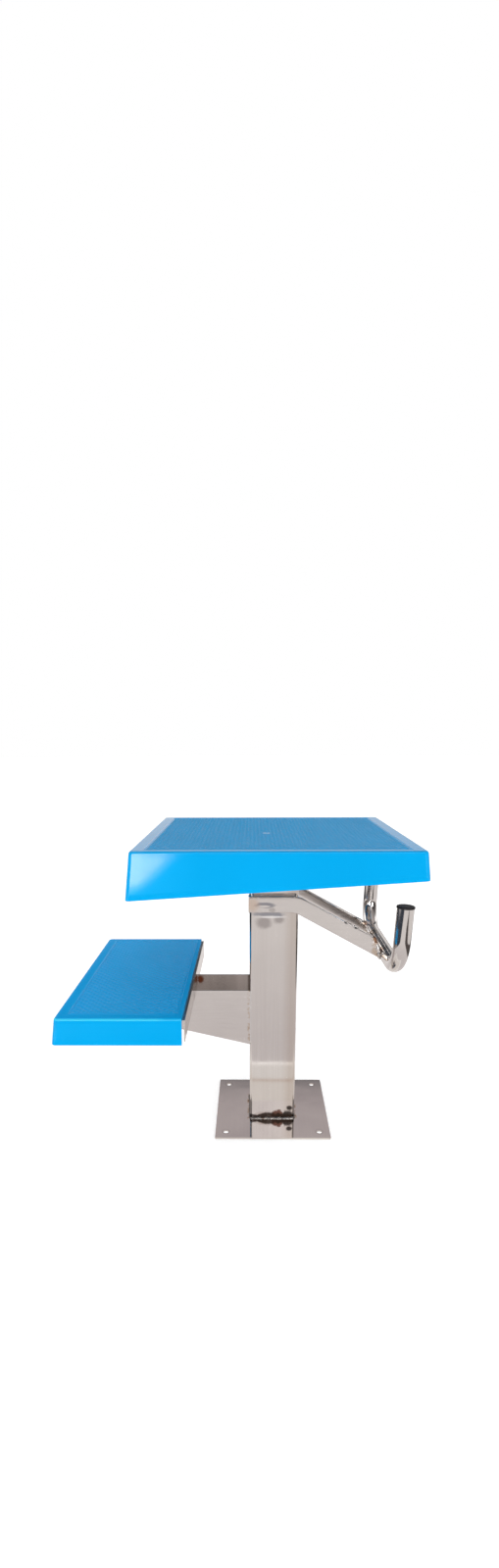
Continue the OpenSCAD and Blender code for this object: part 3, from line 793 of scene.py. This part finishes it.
def build_platform():
    half_width, half_length, border = 250.0, 255.0, 26.0
    x_draft, y_draft = 0.168, 0.09
    front_depth, rear_depth = 50.0, 83.5     # of the slanting rim under the top
    rear_y = half_length + y_draft * rear_depth
    slope = ((rear_depth - front_depth)
             / (2 * half_length + y_draft * (rear_depth + front_depth)))
    panel_x, panel_y = half_width - border, half_length - border
    form = Form()
    form.add(*shell_mesh(
        half_width, -half_length, half_length, PLATFORM_TOP, 89.5, (x_draft, y_draft, y_draft),
        lambda y: (PLATFORM_TOP - rear_depth) + slope * (rear_y - y),
        (-panel_x, panel_x, -panel_y, panel_y), marks=((-28.0, 16.0, 9.0),)))
    root = PLATFORM_TOP - SHELL_T + ROOT_SINK
    rib_x, rib_y = half_width - 3, half_length - 3
    for p in (-125.0, -40.0, 40.0, 125.0):
        form.add(*rib_form((p, -rib_y), (p, rib_y), TRAY_TOP, root))
        form.add(*rib_form((-rib_x, p), (rib_x, p), TRAY_TOP, root))
    for x in (-210.0, 0.0, 210.0):
        for y in (-210.0, 0.0, 210.0):
            if x or y:
                form.add(*boss_form(x, y, TRAY_TOP, root, hole=3.1, depth=11.5))
    form.build("platform_shell_moulding", 48, M_BLUE, "platform_shell")


def build_step():
    """Shell made 70 mm too long, then cut flat and closed at its front."""
    name = "step_shell_moulding"
    front, rear, half_width, height = 173.5, 410.0, 250.5, 49.0
    border, front_border = 25.0, 11.0
    panel_x = half_width - border
    mesh = mesh_data(name, *shell_mesh(
        half_width, front - 70.0, rear, STEP_TOP, height, (0.18, 0.0, 0.09),
        lambda y: STEP_TOP - height,
        (-panel_x, panel_x, front + front_border, rear - border)))
    bm = bmesh.new()
    bm.from_mesh(mesh)
    bmesh.ops.bisect_plane(bm, geom=bm.verts[:] + bm.edges[:] + bm.faces[:], dist=1e-7,
                           plane_co=(0, front * MM, 0), plane_no=(0, 1, 0), clear_inner=True)
    open_edges = [e for e in bm.edges if len(e.link_faces) == 1]
    bmesh.ops.triangle_fill(bm, use_beauty=True, use_dissolve=False, edges=open_edges)
    bmesh.ops.recalc_face_normals(bm, faces=bm.faces)
    bm.to_mesh(mesh)
    bm.free()
    form = Form()
    form.add([tuple(c / MM for c in v.co) for v in mesh.vertices],
             [tuple(p.vertices) for p in mesh.polygons])
    under = STEP_TOP - SHELL_T
    for x in (-205.0, 0.0, 205.0):
        for y in (215.0, 365.0):
            form.add(*boss_form(x, y, under - 2.0, under + ROOT_SINK, hole=2.6, depth=5.5))
    form.build(name, 48, M_BLUE, "step_shell")


build_platform()
build_step()

# ------------------------------------------------------------------ weld beads
ROOT_IN = 0.1            # bead roots lie this far inside the post's face
SEAM_IN = 0.05           # and this far inside the other part
UP, DOWN = (0, 0, 1.0), (0, 0, -1.0)
ARM_BOTTOM, ARM_TOP, ARM_W = 488.5, 521.9, 16.0


def smooth_noise(n, step, seed):
    """Seeded smooth values in -1..1, one new value every step samples."""
    knots = np.random.default_rng(seed).uniform(-1, 1, int(n / step) + 4)
    x = np.arange(n) / step
    i = np.floor(x).astype(int)
    t = x - i
    t = t * t * (3 - 2 * t)
    return knots[i] * (1 - t) + knots[i + 1] * t


def bead(path, dir_a, dir_b, leg_a, leg_b, seed, closed=False, pitch=3.0, ripple=0.25,
         bulge=0.22, rough=0.10, taper=3.0, gain=1.0):
    """Rippled weld bead. path = root line; dir_a and dir_b = directions along the two joined
    faces, one for all or one per point; leg_a and leg_b = the bead's reach along them;
    gain scales the section; taper = length of the rounded ends."""
    n = len(path)

    def unit_rows(direction):
        rows = np.broadcast_to(np.array(direction, float), path.shape)
        return rows / np.linalg.norm(rows, axis=1)[:, None]

    dir_a, dir_b = unit_rows(dir_a), unit_rows(dir_b)
    s = np.r_[0, np.cumsum(np.linalg.norm(np.diff(path, axis=0), axis=1))]
    if closed:                                    # whole number of ripples
        total = s[-1] + np.linalg.norm(path[0] - path[-1])
        pitch = total / round(total / pitch)
    outward = dir_a + dir_b
    outward = outward / np.maximum(np.linalg.norm(outward, axis=1)[:, None], 1e-6)
    size = (1 + rough * smooth_noise(n, 22, seed)) * gain
    wobble = rough * smooth_noise(n, 15, seed + 7)
    ends = np.ones(n)
    if closed:                                    # blend the two ends of the noise
        w = np.clip(np.arange(n) / 60.0, 0, 1)
        w = w * w * (3 - 2 * w)
        size = size * w + size[-1] * (1 - w)
        wobble = wobble * w + wobble[-1] * (1 - w)
    else:
        ends = np.clip(np.minimum(s, s[-1] - s) / taper, 0.0, 1.0)
        ends = 0.12 + 0.88 * np.sqrt(1 - (1 - ends) ** 2)
    rings = []
    for i in range(n):
        ring = []
        for k in range(9):
            u = k / 8
            crest = math.sin(math.pi * u)
            phase = s[i] / pitch + 0.42 * (2 * u - 1) ** 2
            saw = 1 - abs(math.sin(math.pi * phase)) ** 0.7
            rise = bulge * leg_a * crest + ripple * (crest ** 0.6) * (saw - 0.4)
            offset = (dir_a[i] * leg_a * (1 - u) * (1 + wobble[i])
                      + dir_b[i] * leg_b * u * (1 - wobble[i]) + outward[i] * rise)
            ring.append(path[i] + offset * size[i] * ends[i])
        ring.append(path[i] - outward[i] * 0.4)
        rings.append(ring)
    return loft(rings, closed=closed)


def line_path(x, y, z):
    """Points of a straight run; two of the coordinates are single values."""
    return np.stack(np.broadcast_arrays(x, y, z), -1)


def square_path(half, z):
    """Rounded square round the post and its outward normals."""
    r, step = 5.0, 0.5
    pts, normals = [], []
    c = half - r
    length = 2 * c
    corner_steps, side_steps = int(r * math.pi / 2 / step), int(length / step)
    for cx, cy, start in ((c, c, 0), (-c, c, 90), (-c, -c, 180), (c, -c, 270)):
        for k in range(corner_steps):
            t = math.radians(start + 90 * k / corner_steps)
            pts.append((cx + r * math.cos(t), cy + r * math.sin(t), z))
            normals.append((math.cos(t), math.sin(t), 0))
        t = math.radians(start + 90)
        nx, ny = math.cos(t), math.sin(t)
        for k in range(side_steps):
            pts.append((cx + r * nx - ny * length * k / side_steps,
                        cy + r * ny + nx * length * k / side_steps, z))
            normals.append((nx, ny, 0))
    return np.array(pts), np.array(normals)


def build_post_welds():
    head_z = 621.05
    path, normals = square_path(POST_HALF - ROOT_IN, PLATE_TOP - SEAM_IN)
    form = Form()
    form.add(*bead(path, normals, UP, 4.1, 3.6, closed=True, pitch=3.4, ripple=0.55,
                   bulge=0.16, seed=3, rough=0.12, gain=0.62 + 0.38 * normals[:, 0] ** 2))
    form.build("post_foot_bead", 60, M_WELD, "post_foot_weld")
    path, normals = square_path(POST_HALF - ROOT_IN, head_z)
    form = Form()
    form.add(*bead(path, normals, DOWN, 3.9, 3.6, closed=True, pitch=3.4, ripple=0.5,
                   bulge=0.16, seed=5, rough=0.12))
    form.build("post_head_bead", 60, M_WELD_TINTED, "post_head_weld")


def build_arm_welds():
    """Beads along the upper and lower edges of each arm."""
    for side, label in SIDES:
        x = side * (POST_HALF - ROOT_IN)
        form = Form()
        path = line_path(x, np.linspace(44, -44, 177), ARM_TOP - SEAM_IN)
        form.add(*bead(path, (side, 0, 0), UP, 2.7, 2.7, pitch=3.2, ripple=0.22, bulge=0.10,
                       seed=11 + side, rough=0.14, taper=5))
        path = line_path(x, np.linspace(41, -34, 151), ARM_BOTTOM + SEAM_IN)
        form.add(*bead(path, (side, 0, 0), DOWN, 2.9, 2.9, pitch=3.6, ripple=0.05, bulge=-0.04,
                       seed=13 + side, rough=0.08, taper=6))
        form.build("arm_bead_" + label, 60, M_WELD_GROUND, "arm_weld_" + label)


def build_step_welds():
    form = Form()
    for side, _ in SIDES:
        path = line_path(side * 47.6, 48.9, np.linspace(189.2, 312.6, 248))
        form.add(*bead(path, (side * 2.35, 2.6, 0), (side * 2.35, -3.0, 0), 3.4, 3.7, pitch=3.2,
                       ripple=0.18, bulge=0.02, seed=21 + side, rough=0.08))
    form.build("step_bracket_beads", 60, M_WELD_GROUND, "step_bracket_welds")

    length, tray_z = 30, 330.05
    form = Form()
    for side, _ in SIDES:
        for y0 in (185.0, 265.0, 345.0):
            path = line_path(side * (POST_HALF - ROOT_IN), np.linspace(y0, y0 + length, 61),
                             tray_z)
            form.add(*bead(path, (side, 0, 0), DOWN, 3.0, 3.0, ripple=0.4, bulge=0.16,
                           seed=int(31 + y0 + side), rough=0.12, taper=4))
    form.build("step_tray_beads", 60, M_WELD_TINTED, "step_tray_welds")


build_post_welds()
build_arm_welds()
build_step_welds()

# ------------------------------------------------------------------ arms
# (Y, Z) of the arm's top and bottom edge at its rear end, at the bend and at the cut front end
REAR_TOP, REAR_BOTTOM = np.array((50.0, ARM_TOP)), np.array((50.0, ARM_BOTTOM))
BEND_TOP, BEND_BOTTOM = np.array((-51.0, ARM_TOP)), np.array((-42.4, ARM_BOTTOM))
END_TOP, END_BOTTOM = np.array((-201.8, 437.8)), np.array((-219.4, 390.7))
CUT_DIR = (END_BOTTOM - END_TOP) / np.linalg.norm(END_BOTTOM - END_TOP)
SLOPE_DIR = (END_TOP - BEND_TOP) / np.linalg.norm(END_TOP - BEND_TOP)


def tube_section(top, bottom, x0, x1, r, inset):
    """Rounded rectangle between x0 and x1, from bottom to top in the Y-Z plane."""
    corner_cells, side_cells = 6, 6
    height = np.linalg.norm(top - bottom)
    d = (top - bottom) / height
    near, far_x, far_v = inset + r, x1 - x0 - inset - r, height - inset - r
    corners = []
    for cx, cv, start in ((far_x, far_v, 0), (near, far_v, 90), (near, near, 180),
                          (far_x, near, 270)):
        for k in range(corner_cells + 1):
            t = math.radians(start + 90.0 * k / corner_cells)
            corners.append((cx + r * math.cos(t), cv + r * math.sin(t)))
    full = []
    for i, point in enumerate(corners):
        a, b = np.array(point), np.array(corners[(i + 1) % len(corners)])
        full.append(tuple(a))
        if np.linalg.norm(b - a) > 4:             # the long sides are divided
            full.extend(tuple(a + (b - a) * k / side_cells) for k in range(1, side_cells))
    return [(x0 + q[0], bottom[0] + d[0] * q[1], bottom[1] + d[1] * q[1]) for q in full]


def arm_mesh(x0, x1):
    """Bent tube, open inside, with a rounded lip at the cut end."""
    def stations(inset, r, end_offset):
        sections = []
        for k in range(7):
            t = k / 6.0
            sections.append(tube_section(REAR_TOP + (BEND_TOP - REAR_TOP) * t * 0.94,
                                         REAR_BOTTOM + (BEND_BOTTOM - REAR_BOTTOM) * t * 0.94,
                                         x0, x1, r, inset))
        end_top, end_bottom = END_TOP + SLOPE_DIR * end_offset, END_BOTTOM + SLOPE_DIR * end_offset
        for k in range(13):
            t = 0.03 + (1 - 0.03) * k / 12.0
            sections.append(tube_section(lerp(BEND_TOP, end_top, t),
                                         lerp(BEND_BOTTOM, end_bottom, t), x0, x1, r, inset))
        return sections
    outer = stations(0.0, 1.9, -0.35)
    lip = [tube_section(END_TOP, END_BOTTOM, x0, x1, 1.6, 0.35),
           tube_section(END_TOP, END_BOTTOM, x0, x1, 0.8, 1.7)]
    inner = stations(2.0, 0.7, -0.3)
    return loft(outer + lip + inner[::-1], closed=True)


for side, label in SIDES:
    form = Form()
    form.add(*arm_mesh(*sorted((side * POST_HALF, side * (POST_HALF + ARM_W)))))
    form.build("arm_tube_" + label, 30, M_ARM, "arm_" + label)

# ------------------------------------------------------------------ hand bar
BAR_Y, BAR_Z = -234.0, 398.4             # centre of the level run
BAR_R, BAR_WALL = 16.0, 2.0
SPAN, BEND_R, LEG = 349.0, 64.0, 128.0   # between the legs, bend radius, height of the legs
LEAN = math.radians(2.0)
BAR_OVAL = 0.012                         # flattening of the tube in the bends
BAR_CIRCLE = circle(72)


def lean(p):
    """From the bar's own frame, level run along X and legs up Z, to its place."""
    x, y, z = p
    return (x, BAR_Y + y * math.cos(LEAN) - z * math.sin(LEAN),
            BAR_Z + y * math.sin(LEAN) + z * math.cos(LEAN))


def bar_path():
    """Points and tangents of the U, from the top of the -X leg to the top of the +X leg."""
    s = SPAN / 2 - BEND_R
    path = []
    for k in range(17):
        path.append(((-SPAN / 2, 0, LEG - (LEG - BEND_R) * k / 16), (0, 0, -1)))
    for k in range(1, 49):
        a = math.pi / 2 * k / 48
        path.append(((-s - BEND_R * math.cos(a), 0, BEND_R - BEND_R * math.sin(a)),
                     (math.sin(a), 0, -math.cos(a))))
    for k in range(1, 41):
        path.append(((-s + 2 * s * k / 40, 0, 0), (1, 0, 0)))
    for k in range(1, 49):
        a = math.pi / 2 * k / 48
        path.append(((s + BEND_R * math.sin(a), 0, BEND_R - BEND_R * math.cos(a)),
                     (math.cos(a), 0, math.sin(a))))
    for k in range(1, 17):
        path.append(((SPAN / 2, 0, BEND_R + (LEG - BEND_R) * k / 16), (0, 0, 1)))
    return path


def sweep(path, r):
    rings = []
    for point, tangent in path:
        across = np.cross(tangent, (0, 1, 0))
        bend = abs(tangent[0] * tangent[2]) * 2
        flat_r = r * (1 - BAR_OVAL * bend)
        rings.append([lean(np.array(point) + across * flat_r * c + np.array((0, r * s, 0)))
                      for c, s in BAR_CIRCLE])
    return rings


# closed plug on each end of the bar: radius, height over the tube's end
CAP_PROFILE = ((0.8, -1.0), (9.0, -1.0), (9.6, -2.0), (9.8, -15.0), (11.2, -15.6),
               (13.3, -15.0), (13.9, -13.5), (13.9, -9.0), (13.6, -8.5), (13.6, -6.5),
               (13.9, -6.0), (13.9, 0.0), (16.6, 0.02), (17.1, 0.35), (17.2, 0.9), (17.2, 2.4),
               (17.05, 3.0), (16.65, 3.5), (16.0, 3.85), (15.0, 4.0), (11.5, 4.15),
               (7.0, 4.25), (2.5, 4.3), (0.8, 4.3))


def build_hand_bar():
    path = bar_path()
    form = Form()
    form.add(*loft(sweep(path, BAR_R) + sweep(path, BAR_R - BAR_WALL)[::-1], closed=True))
    form.build("hand_bar_tube", 50, M_BAR, "handle_bar")
    for side, label in SIDES:
        x = side * SPAN / 2
        form = Form()
        form.add(*loft([[lean((x + r * c, r * s, LEG + z)) for c, s in BAR_CIRCLE]
                        for r, z in CAP_PROFILE]))
        form.build("bar_cap_" + label, 50, M_BLACK, "handle_cap_" + label)


def wedge_weld(x_mid, seed):
    """Weld between an arm's cut end and the bar: fills the wedge, laps onto the arm's sides."""
    stations = 181
    to_arm = np.array((-CUT_DIR[1], CUT_DIR[0]))          # from the bar towards the arm
    bar_centre = np.array((BAR_Y, BAR_Z))
    cut_length = float(np.linalg.norm(END_BOTTOM - END_TOP))
    nearest = float(np.dot(bar_centre - END_TOP, CUT_DIR))   # bar's place along the cut
    distance = float(np.dot(END_TOP - bar_centre, to_arm))   # cut plane from the bar's centre
    first, last = 2.0, cut_length + 1.2
    reach_noise = smooth_noise(stations, 11, seed)
    width_noise = smooth_noise(stations, 9, seed + 3)
    rings = []
    for k in range(stations):
        s = first + (last - first) * k / (stations - 1.0)
        off = s - nearest
        gap = distance - math.sqrt(max(BAR_R ** 2 - off * off, 0.0))
        lap = max(0.0, min(1.0, (s - 16.0) / 18.0))
        end = min(1.0, k / 16.0, (stations - 1 - k) / 10.0)
        end = math.sqrt(max(1 - (1 - end) ** 2, 0.0))
        saw = 1 - abs(math.sin(math.pi * s / 3.9)) ** 0.8
        # extent towards the bar and towards the arm, drawn together at the two ends
        bar_side = -min(gap, 6.2) - 0.9 * lap
        arm_side = 2.2 + 2.0 * lap + 0.6 * reach_noise[k]
        middle = bar_side * 0.4 + arm_side * 0.6
        shrink = 0.25 + 0.75 * end
        bar_side = middle + (bar_side - middle) * shrink
        arm_side = middle + (arm_side - middle) * shrink
        centre = END_TOP + CUT_DIR * s
        ring = []
        for cosine, sine in circle(48):
            u = math.copysign(abs(cosine) ** 0.45, cosine)
            # swells out over the arm's side, most of all close to the bar
            crest = min(1.0, (1.0 - sine) / 1.30) ** 0.85
            half = (7.4 * (0.92 + 0.08 * end)
                    + (1.5 + 2.9 * lap + 0.4 * width_noise[k]) * crest * end
                    + 0.24 * saw * crest * end)
            q = centre + to_arm * ((bar_side + arm_side) / 2 + (arm_side - bar_side) / 2 * sine)
            ring.append((x_mid + u * half, q[0], q[1]))
        rings.append(ring)
    return loft(rings)


build_hand_bar()
for side, label in SIDES:
    form = Form()
    form.add(*wedge_weld(side * (POST_HALF + ARM_W / 2), 41 + side))
    form.build("bar_bead_" + label, 60, M_WELD_HANDLE, "handle_weld_" + label)

# ------------------------------------------------------------------ frame nodes that stay
# material and bevel width
NODE_LOOKS = {
    "base_plate": (M_PLATE, 0.35), "post": (M_POST, 0.0), "post_head_plate": (M_PLATE, 0.5),
    "head_gussets": (M_SHEET, 0.4), "platform_tray": (M_TRAY, 0.4),
    "tray_stiffener_front": (M_TRAY, 0.4), "tray_stiffener_rear": (M_TRAY, 0.4),
    "arm_end_plate_left": (M_ARM, 0.5), "arm_end_plate_right": (M_ARM, 0.5),
    "step_bracket": (M_SHEET, 0.45), "step_tray": (M_FLANGE, 0.45),
    "head_bolts": (M_FASTENER, 0.25), "head_bolt_washers": (M_FASTENER, 0.2),
    "head_bolt_nuts": (M_FASTENER, 0.25),
    "platform_screws": (M_FASTENER, 0.0), "platform_screw_washers": (M_FASTENER, 0.15),
    "step_screws": (M_FASTENER, 0.0), "step_screw_washers": (M_FASTENER, 0.15),
}
for name, (material, bevel_width) in NODE_LOOKS.items():
    node = NODES[name]
    node.data.materials.clear()
    node.data.materials.append(material)
    if bevel_width:
        bevel = node.modifiers.new("edge", "BEVEL")
        bevel.width = bevel_width * MM
        bevel.segments = 2
        bevel.limit_method = "ANGLE"
        bevel.angle_limit = math.radians(40)
        bevel.harden_normals = True


# ------------------------------------------------------------------ floor
def floor_material():
    """Floor with its own glow, with painted light under the plate; shiny surfaces see a patterned
    floor instead.
    """
    material = bpy.data.materials.new("studio_floor_paint")
    tree = empty_tree(material)
    glossy = Value(add_node(tree, "ShaderNodeLightPath").outputs["Is Glossy Ray"])
    x, y, z = geometry(tree).xyz()
    square = abs(x).max(abs(y))
    radius = (x ** 2.0 + y ** 2.0).sqrt()
    # nested squares round the plate, with soft lines on their borders
    near = mix(square.ramp((0.224, 0.230)), (0.80, 0.745, 0.70), (0.84, 0.80, 0.77))
    near = mix(abs(square - 0.229).ease((0.0, 0.014), (0.75, 0.0)), near, (0.60, 0.47, 0.39))
    paper = mix(abs(square - 0.320).ease((0.0, 0.014), (1.0, 0.0)), near, (1.22, 1.18, 1.15))
    paper = mix(square.ramp((0.325, 0.331)), paper, (0.655, 0.605, 0.60))
    seen = mix(radius.ramp((0.5, 1.5)), paper, (0.75, 0.71, 0.695))
    # dark areas to the rear (+Y), to the front (-Y) and at +X
    rear = y.ease((0.78, 0.90)) * y.ease((2.0, 2.6), (1.0, 0.0))
    rear = rear * abs(x).ease((2.2, 3.0), (1.0, 0.0))
    front = y.ease((-0.80, -0.90)) * y.ease((-1.55, -1.40))
    beyond = x.ease((0.80, 0.95)) * (y.ease((-0.10, -0.25)) * x.ease((1.9, 1.7)))
    beyond = beyond * y.ease((-1.55, -1.40))
    front = front * abs(x).ease((1.9, 1.7))
    seen = mix(front.max(beyond), seen, (0.10, 0.085, 0.080))
    seen = mix(rear, seen, (0.045, 0.055, 0.075))
    seen = mix(radius.ease((3.6, 4.9)), seen, (0.14, 0.115, 0.105))
    distant = mix(x.ramp((-6.0, 0.0)), (0.10, 0.095, 0.09), (0.45, 0.42, 0.41))
    seen = mix(radius.ease((8.0, 16.0)), seen, distant)
    # bright area on the viewer's side, with one slanting edge
    slant = y - x * 0.35
    bright = slant.ease((4.05, 4.40)) * y.ease((6.0, 4.5))
    bright = bright * x.ease((-4.4, -5.2))
    seen = mix(bright, seen, grey(9.5))
    # painted light: the floor glows brighter under the plate, where the plate shades it
    plain = mix(square.ramp((0.1195, 0.1205)), grey(0.95), grey(0.42))
    dark = rear.max(front).max(beyond.max(radius.ease((3.6, 4.9))))
    matt = mix(glossy, grey(0.88), mix(dark, (0.16, 0.155, 0.15), grey(0.012)))
    diffuse = add_node(tree, "ShaderNodeBsdfDiffuse", {"Color": matt})
    glow = add_node(tree, "ShaderNodeEmission",
                    {"Color": mix(glossy, plain, seen), "Strength": 1.0})
    both = add_node(tree, "ShaderNodeAddShader",
                    {0: Value(diffuse.outputs[0]), 1: Value(glow.outputs[0])})
    add_node(tree, "ShaderNodeOutputMaterial", {0: Value(both.outputs[0])})
    return material


def studio_floor():
    """Disc just under the floor plate."""
    n, level = 96, -0.0004
    radii = [0.4, 0.8, 1.4, 2.4, 4.0, 7.0, 12.0, 20.0, 30.0]
    verts = [(0, 0, level)]
    for r in radii:
        verts += [(r * c, r * s, level) for c, s in circle(n)]
    faces = [(0, 1 + i, 1 + (i + 1) % n) for i in range(n)]
    for k in range(len(radii) - 1):
        a, b = 1 + k * n, 1 + (k + 1) * n
        faces += [(a + i, b + i, b + (i + 1) % n, a + (i + 1) % n) for i in range(n)]
    mesh = bpy.data.meshes.new("studio_floor")
    mesh.from_pydata(verts, [], faces)
    floor = bpy.data.objects.new("studio_floor", mesh)
    scene.collection.objects.link(floor)
    mesh.materials.append(floor_material())


# ------------------------------------------------------------------ world
# light panels seen in reflections, in degrees: azimuth span (0 = -X, positive towards +Y),
# elevation span, softness of each, tilt of the sides, colour
PANELS = (
    ((-21.0, 8.0), (22.0, 48.0), 3.0, 2.0, 0.0, (1.42, 1.37, 1.36)),
    ((6.5, 40.0), (4.0, 22.0), 2.5, 1.6, -0.25, grey(7.0)),
    ((-44.0, -22.0), (2.0, 22.0), 2.0, 2.0, 0.0, grey(5.0)),
    ((112.0, 136.0), (6.0, 24.0), 3.0, 3.0, 0.0, grey(2.0)),
    ((-136.0, -114.0), (6.0, 24.0), 3.0, 3.0, 0.0, grey(2.0)),
)


def panel_mask(azimuth, elevation, across, upward, soft_a, soft_e, tilt):
    (a0, a1), (e0, e1) = across, upward
    if tilt:
        azimuth = azimuth - (elevation - (e0 + e1) / 2) * tilt
    sides = (azimuth.ease((a0 - soft_a, a0 + soft_a))
             * azimuth.ease((a1 - soft_a, a1 + soft_a), (1.0, 0.0)))
    ends = (elevation.ease((e0 - soft_e, e0 + soft_e))
            * elevation.ease((e1 - soft_e, e1 + soft_e), (1.0, 0.0)))
    return sides * ends


def studio_world():
    world = bpy.data.worlds.new("studio")
    scene.world = world
    tree = empty_tree(world)
    # guards a Blender without the Cycles world settings
    try:
        world.cycles.sampling_method = "NONE"
    except Exception:
        pass
    rays = add_node(tree, "ShaderNodeLightPath")
    generated = Value(add_node(tree, "ShaderNodeTexCoord").outputs["Generated"])
    direction = generated.add("ShaderNodeVectorMath", 0, {0: generated}, operation="NORMALIZE")
    x, y, z = direction.xyz()
    degrees = 180 / math.pi
    elevation = z.math("ARCSINE", z) * degrees
    azimuth = y.math("ARCTAN2", y, x * -1.0) * degrees

    # soft light for matt surfaces: brighter low down, weaker towards +Y and -Y
    lowness = (1.0 - z.max(0.0)) ** 3.0
    soft = 0.74 + lowness * 3.15
    soft = soft * (1.0 - y * y * 0.48)
    soft = soft.add("ShaderNodeCombineXYZ", 0, {0: soft, 1: soft, 2: soft})

    # what shiny surfaces see: bands by elevation, each from its -X to its +X colour
    back = x.ease((-0.10, 0.70))
    low = mix(back, (0.07, 0.065, 0.065), (0.86, 0.82, 0.80))
    mid = mix(back, (0.08, 0.075, 0.075), (0.05, 0.06, 0.07))
    high = mix(back, (0.40, 0.37, 0.36), (0.56, 0.50, 0.50))
    room = mix(elevation.ease((12.5, 17.0)), low, mid)
    room = mix(elevation.ease((27.5, 31.0)), room, high)
    room = mix(elevation.ease((50.0, 75.0)), room, (0.62, 0.60, 0.59))
    for *shape, colour in PANELS:
        room = mix(panel_mask(azimuth, elevation, *shape), room, colour)
    sky = mix(Value(rays.outputs["Is Glossy Ray"]), soft, room)
    sky = mix(Value(rays.outputs["Is Camera Ray"]), sky, grey(1.0))
    background = add_node(tree, "ShaderNodeBackground", {"Color": sky, "Strength": 1.0})
    add_node(tree, "ShaderNodeOutputWorld", {0: Value(background.outputs[0])})


# ------------------------------------------------------------------ camera
def studio_camera():
    data = bpy.data.cameras.new("camera")
    camera = bpy.data.objects.new("camera", data)
    scene.collection.objects.link(camera)
    scene.camera = camera
    right = (0.010019, -0.999944, -0.00333)
    up = (0.293908, -0.000238, 0.955834)
    backward = (-0.955781, -0.010555, 0.293889)
    place = Vector((-1.34681, 0.04345, 0.82433 + PLATE_TOP * MM))
    turn = Matrix((right, up, backward)).transposed()
    camera.matrix_world = Matrix.Translation(place) @ turn.to_4x4()
    data.sensor_width = 36.0
    data.lens = 15.0309
    data.shift_x, data.shift_y = 0.00236875, 0.09850625
    data.clip_start, data.clip_end = 0.01, 100.0


studio_floor()
studio_world()
studio_camera()
scene.view_settings.view_transform = "Standard"
scene.view_settings.look = "None"
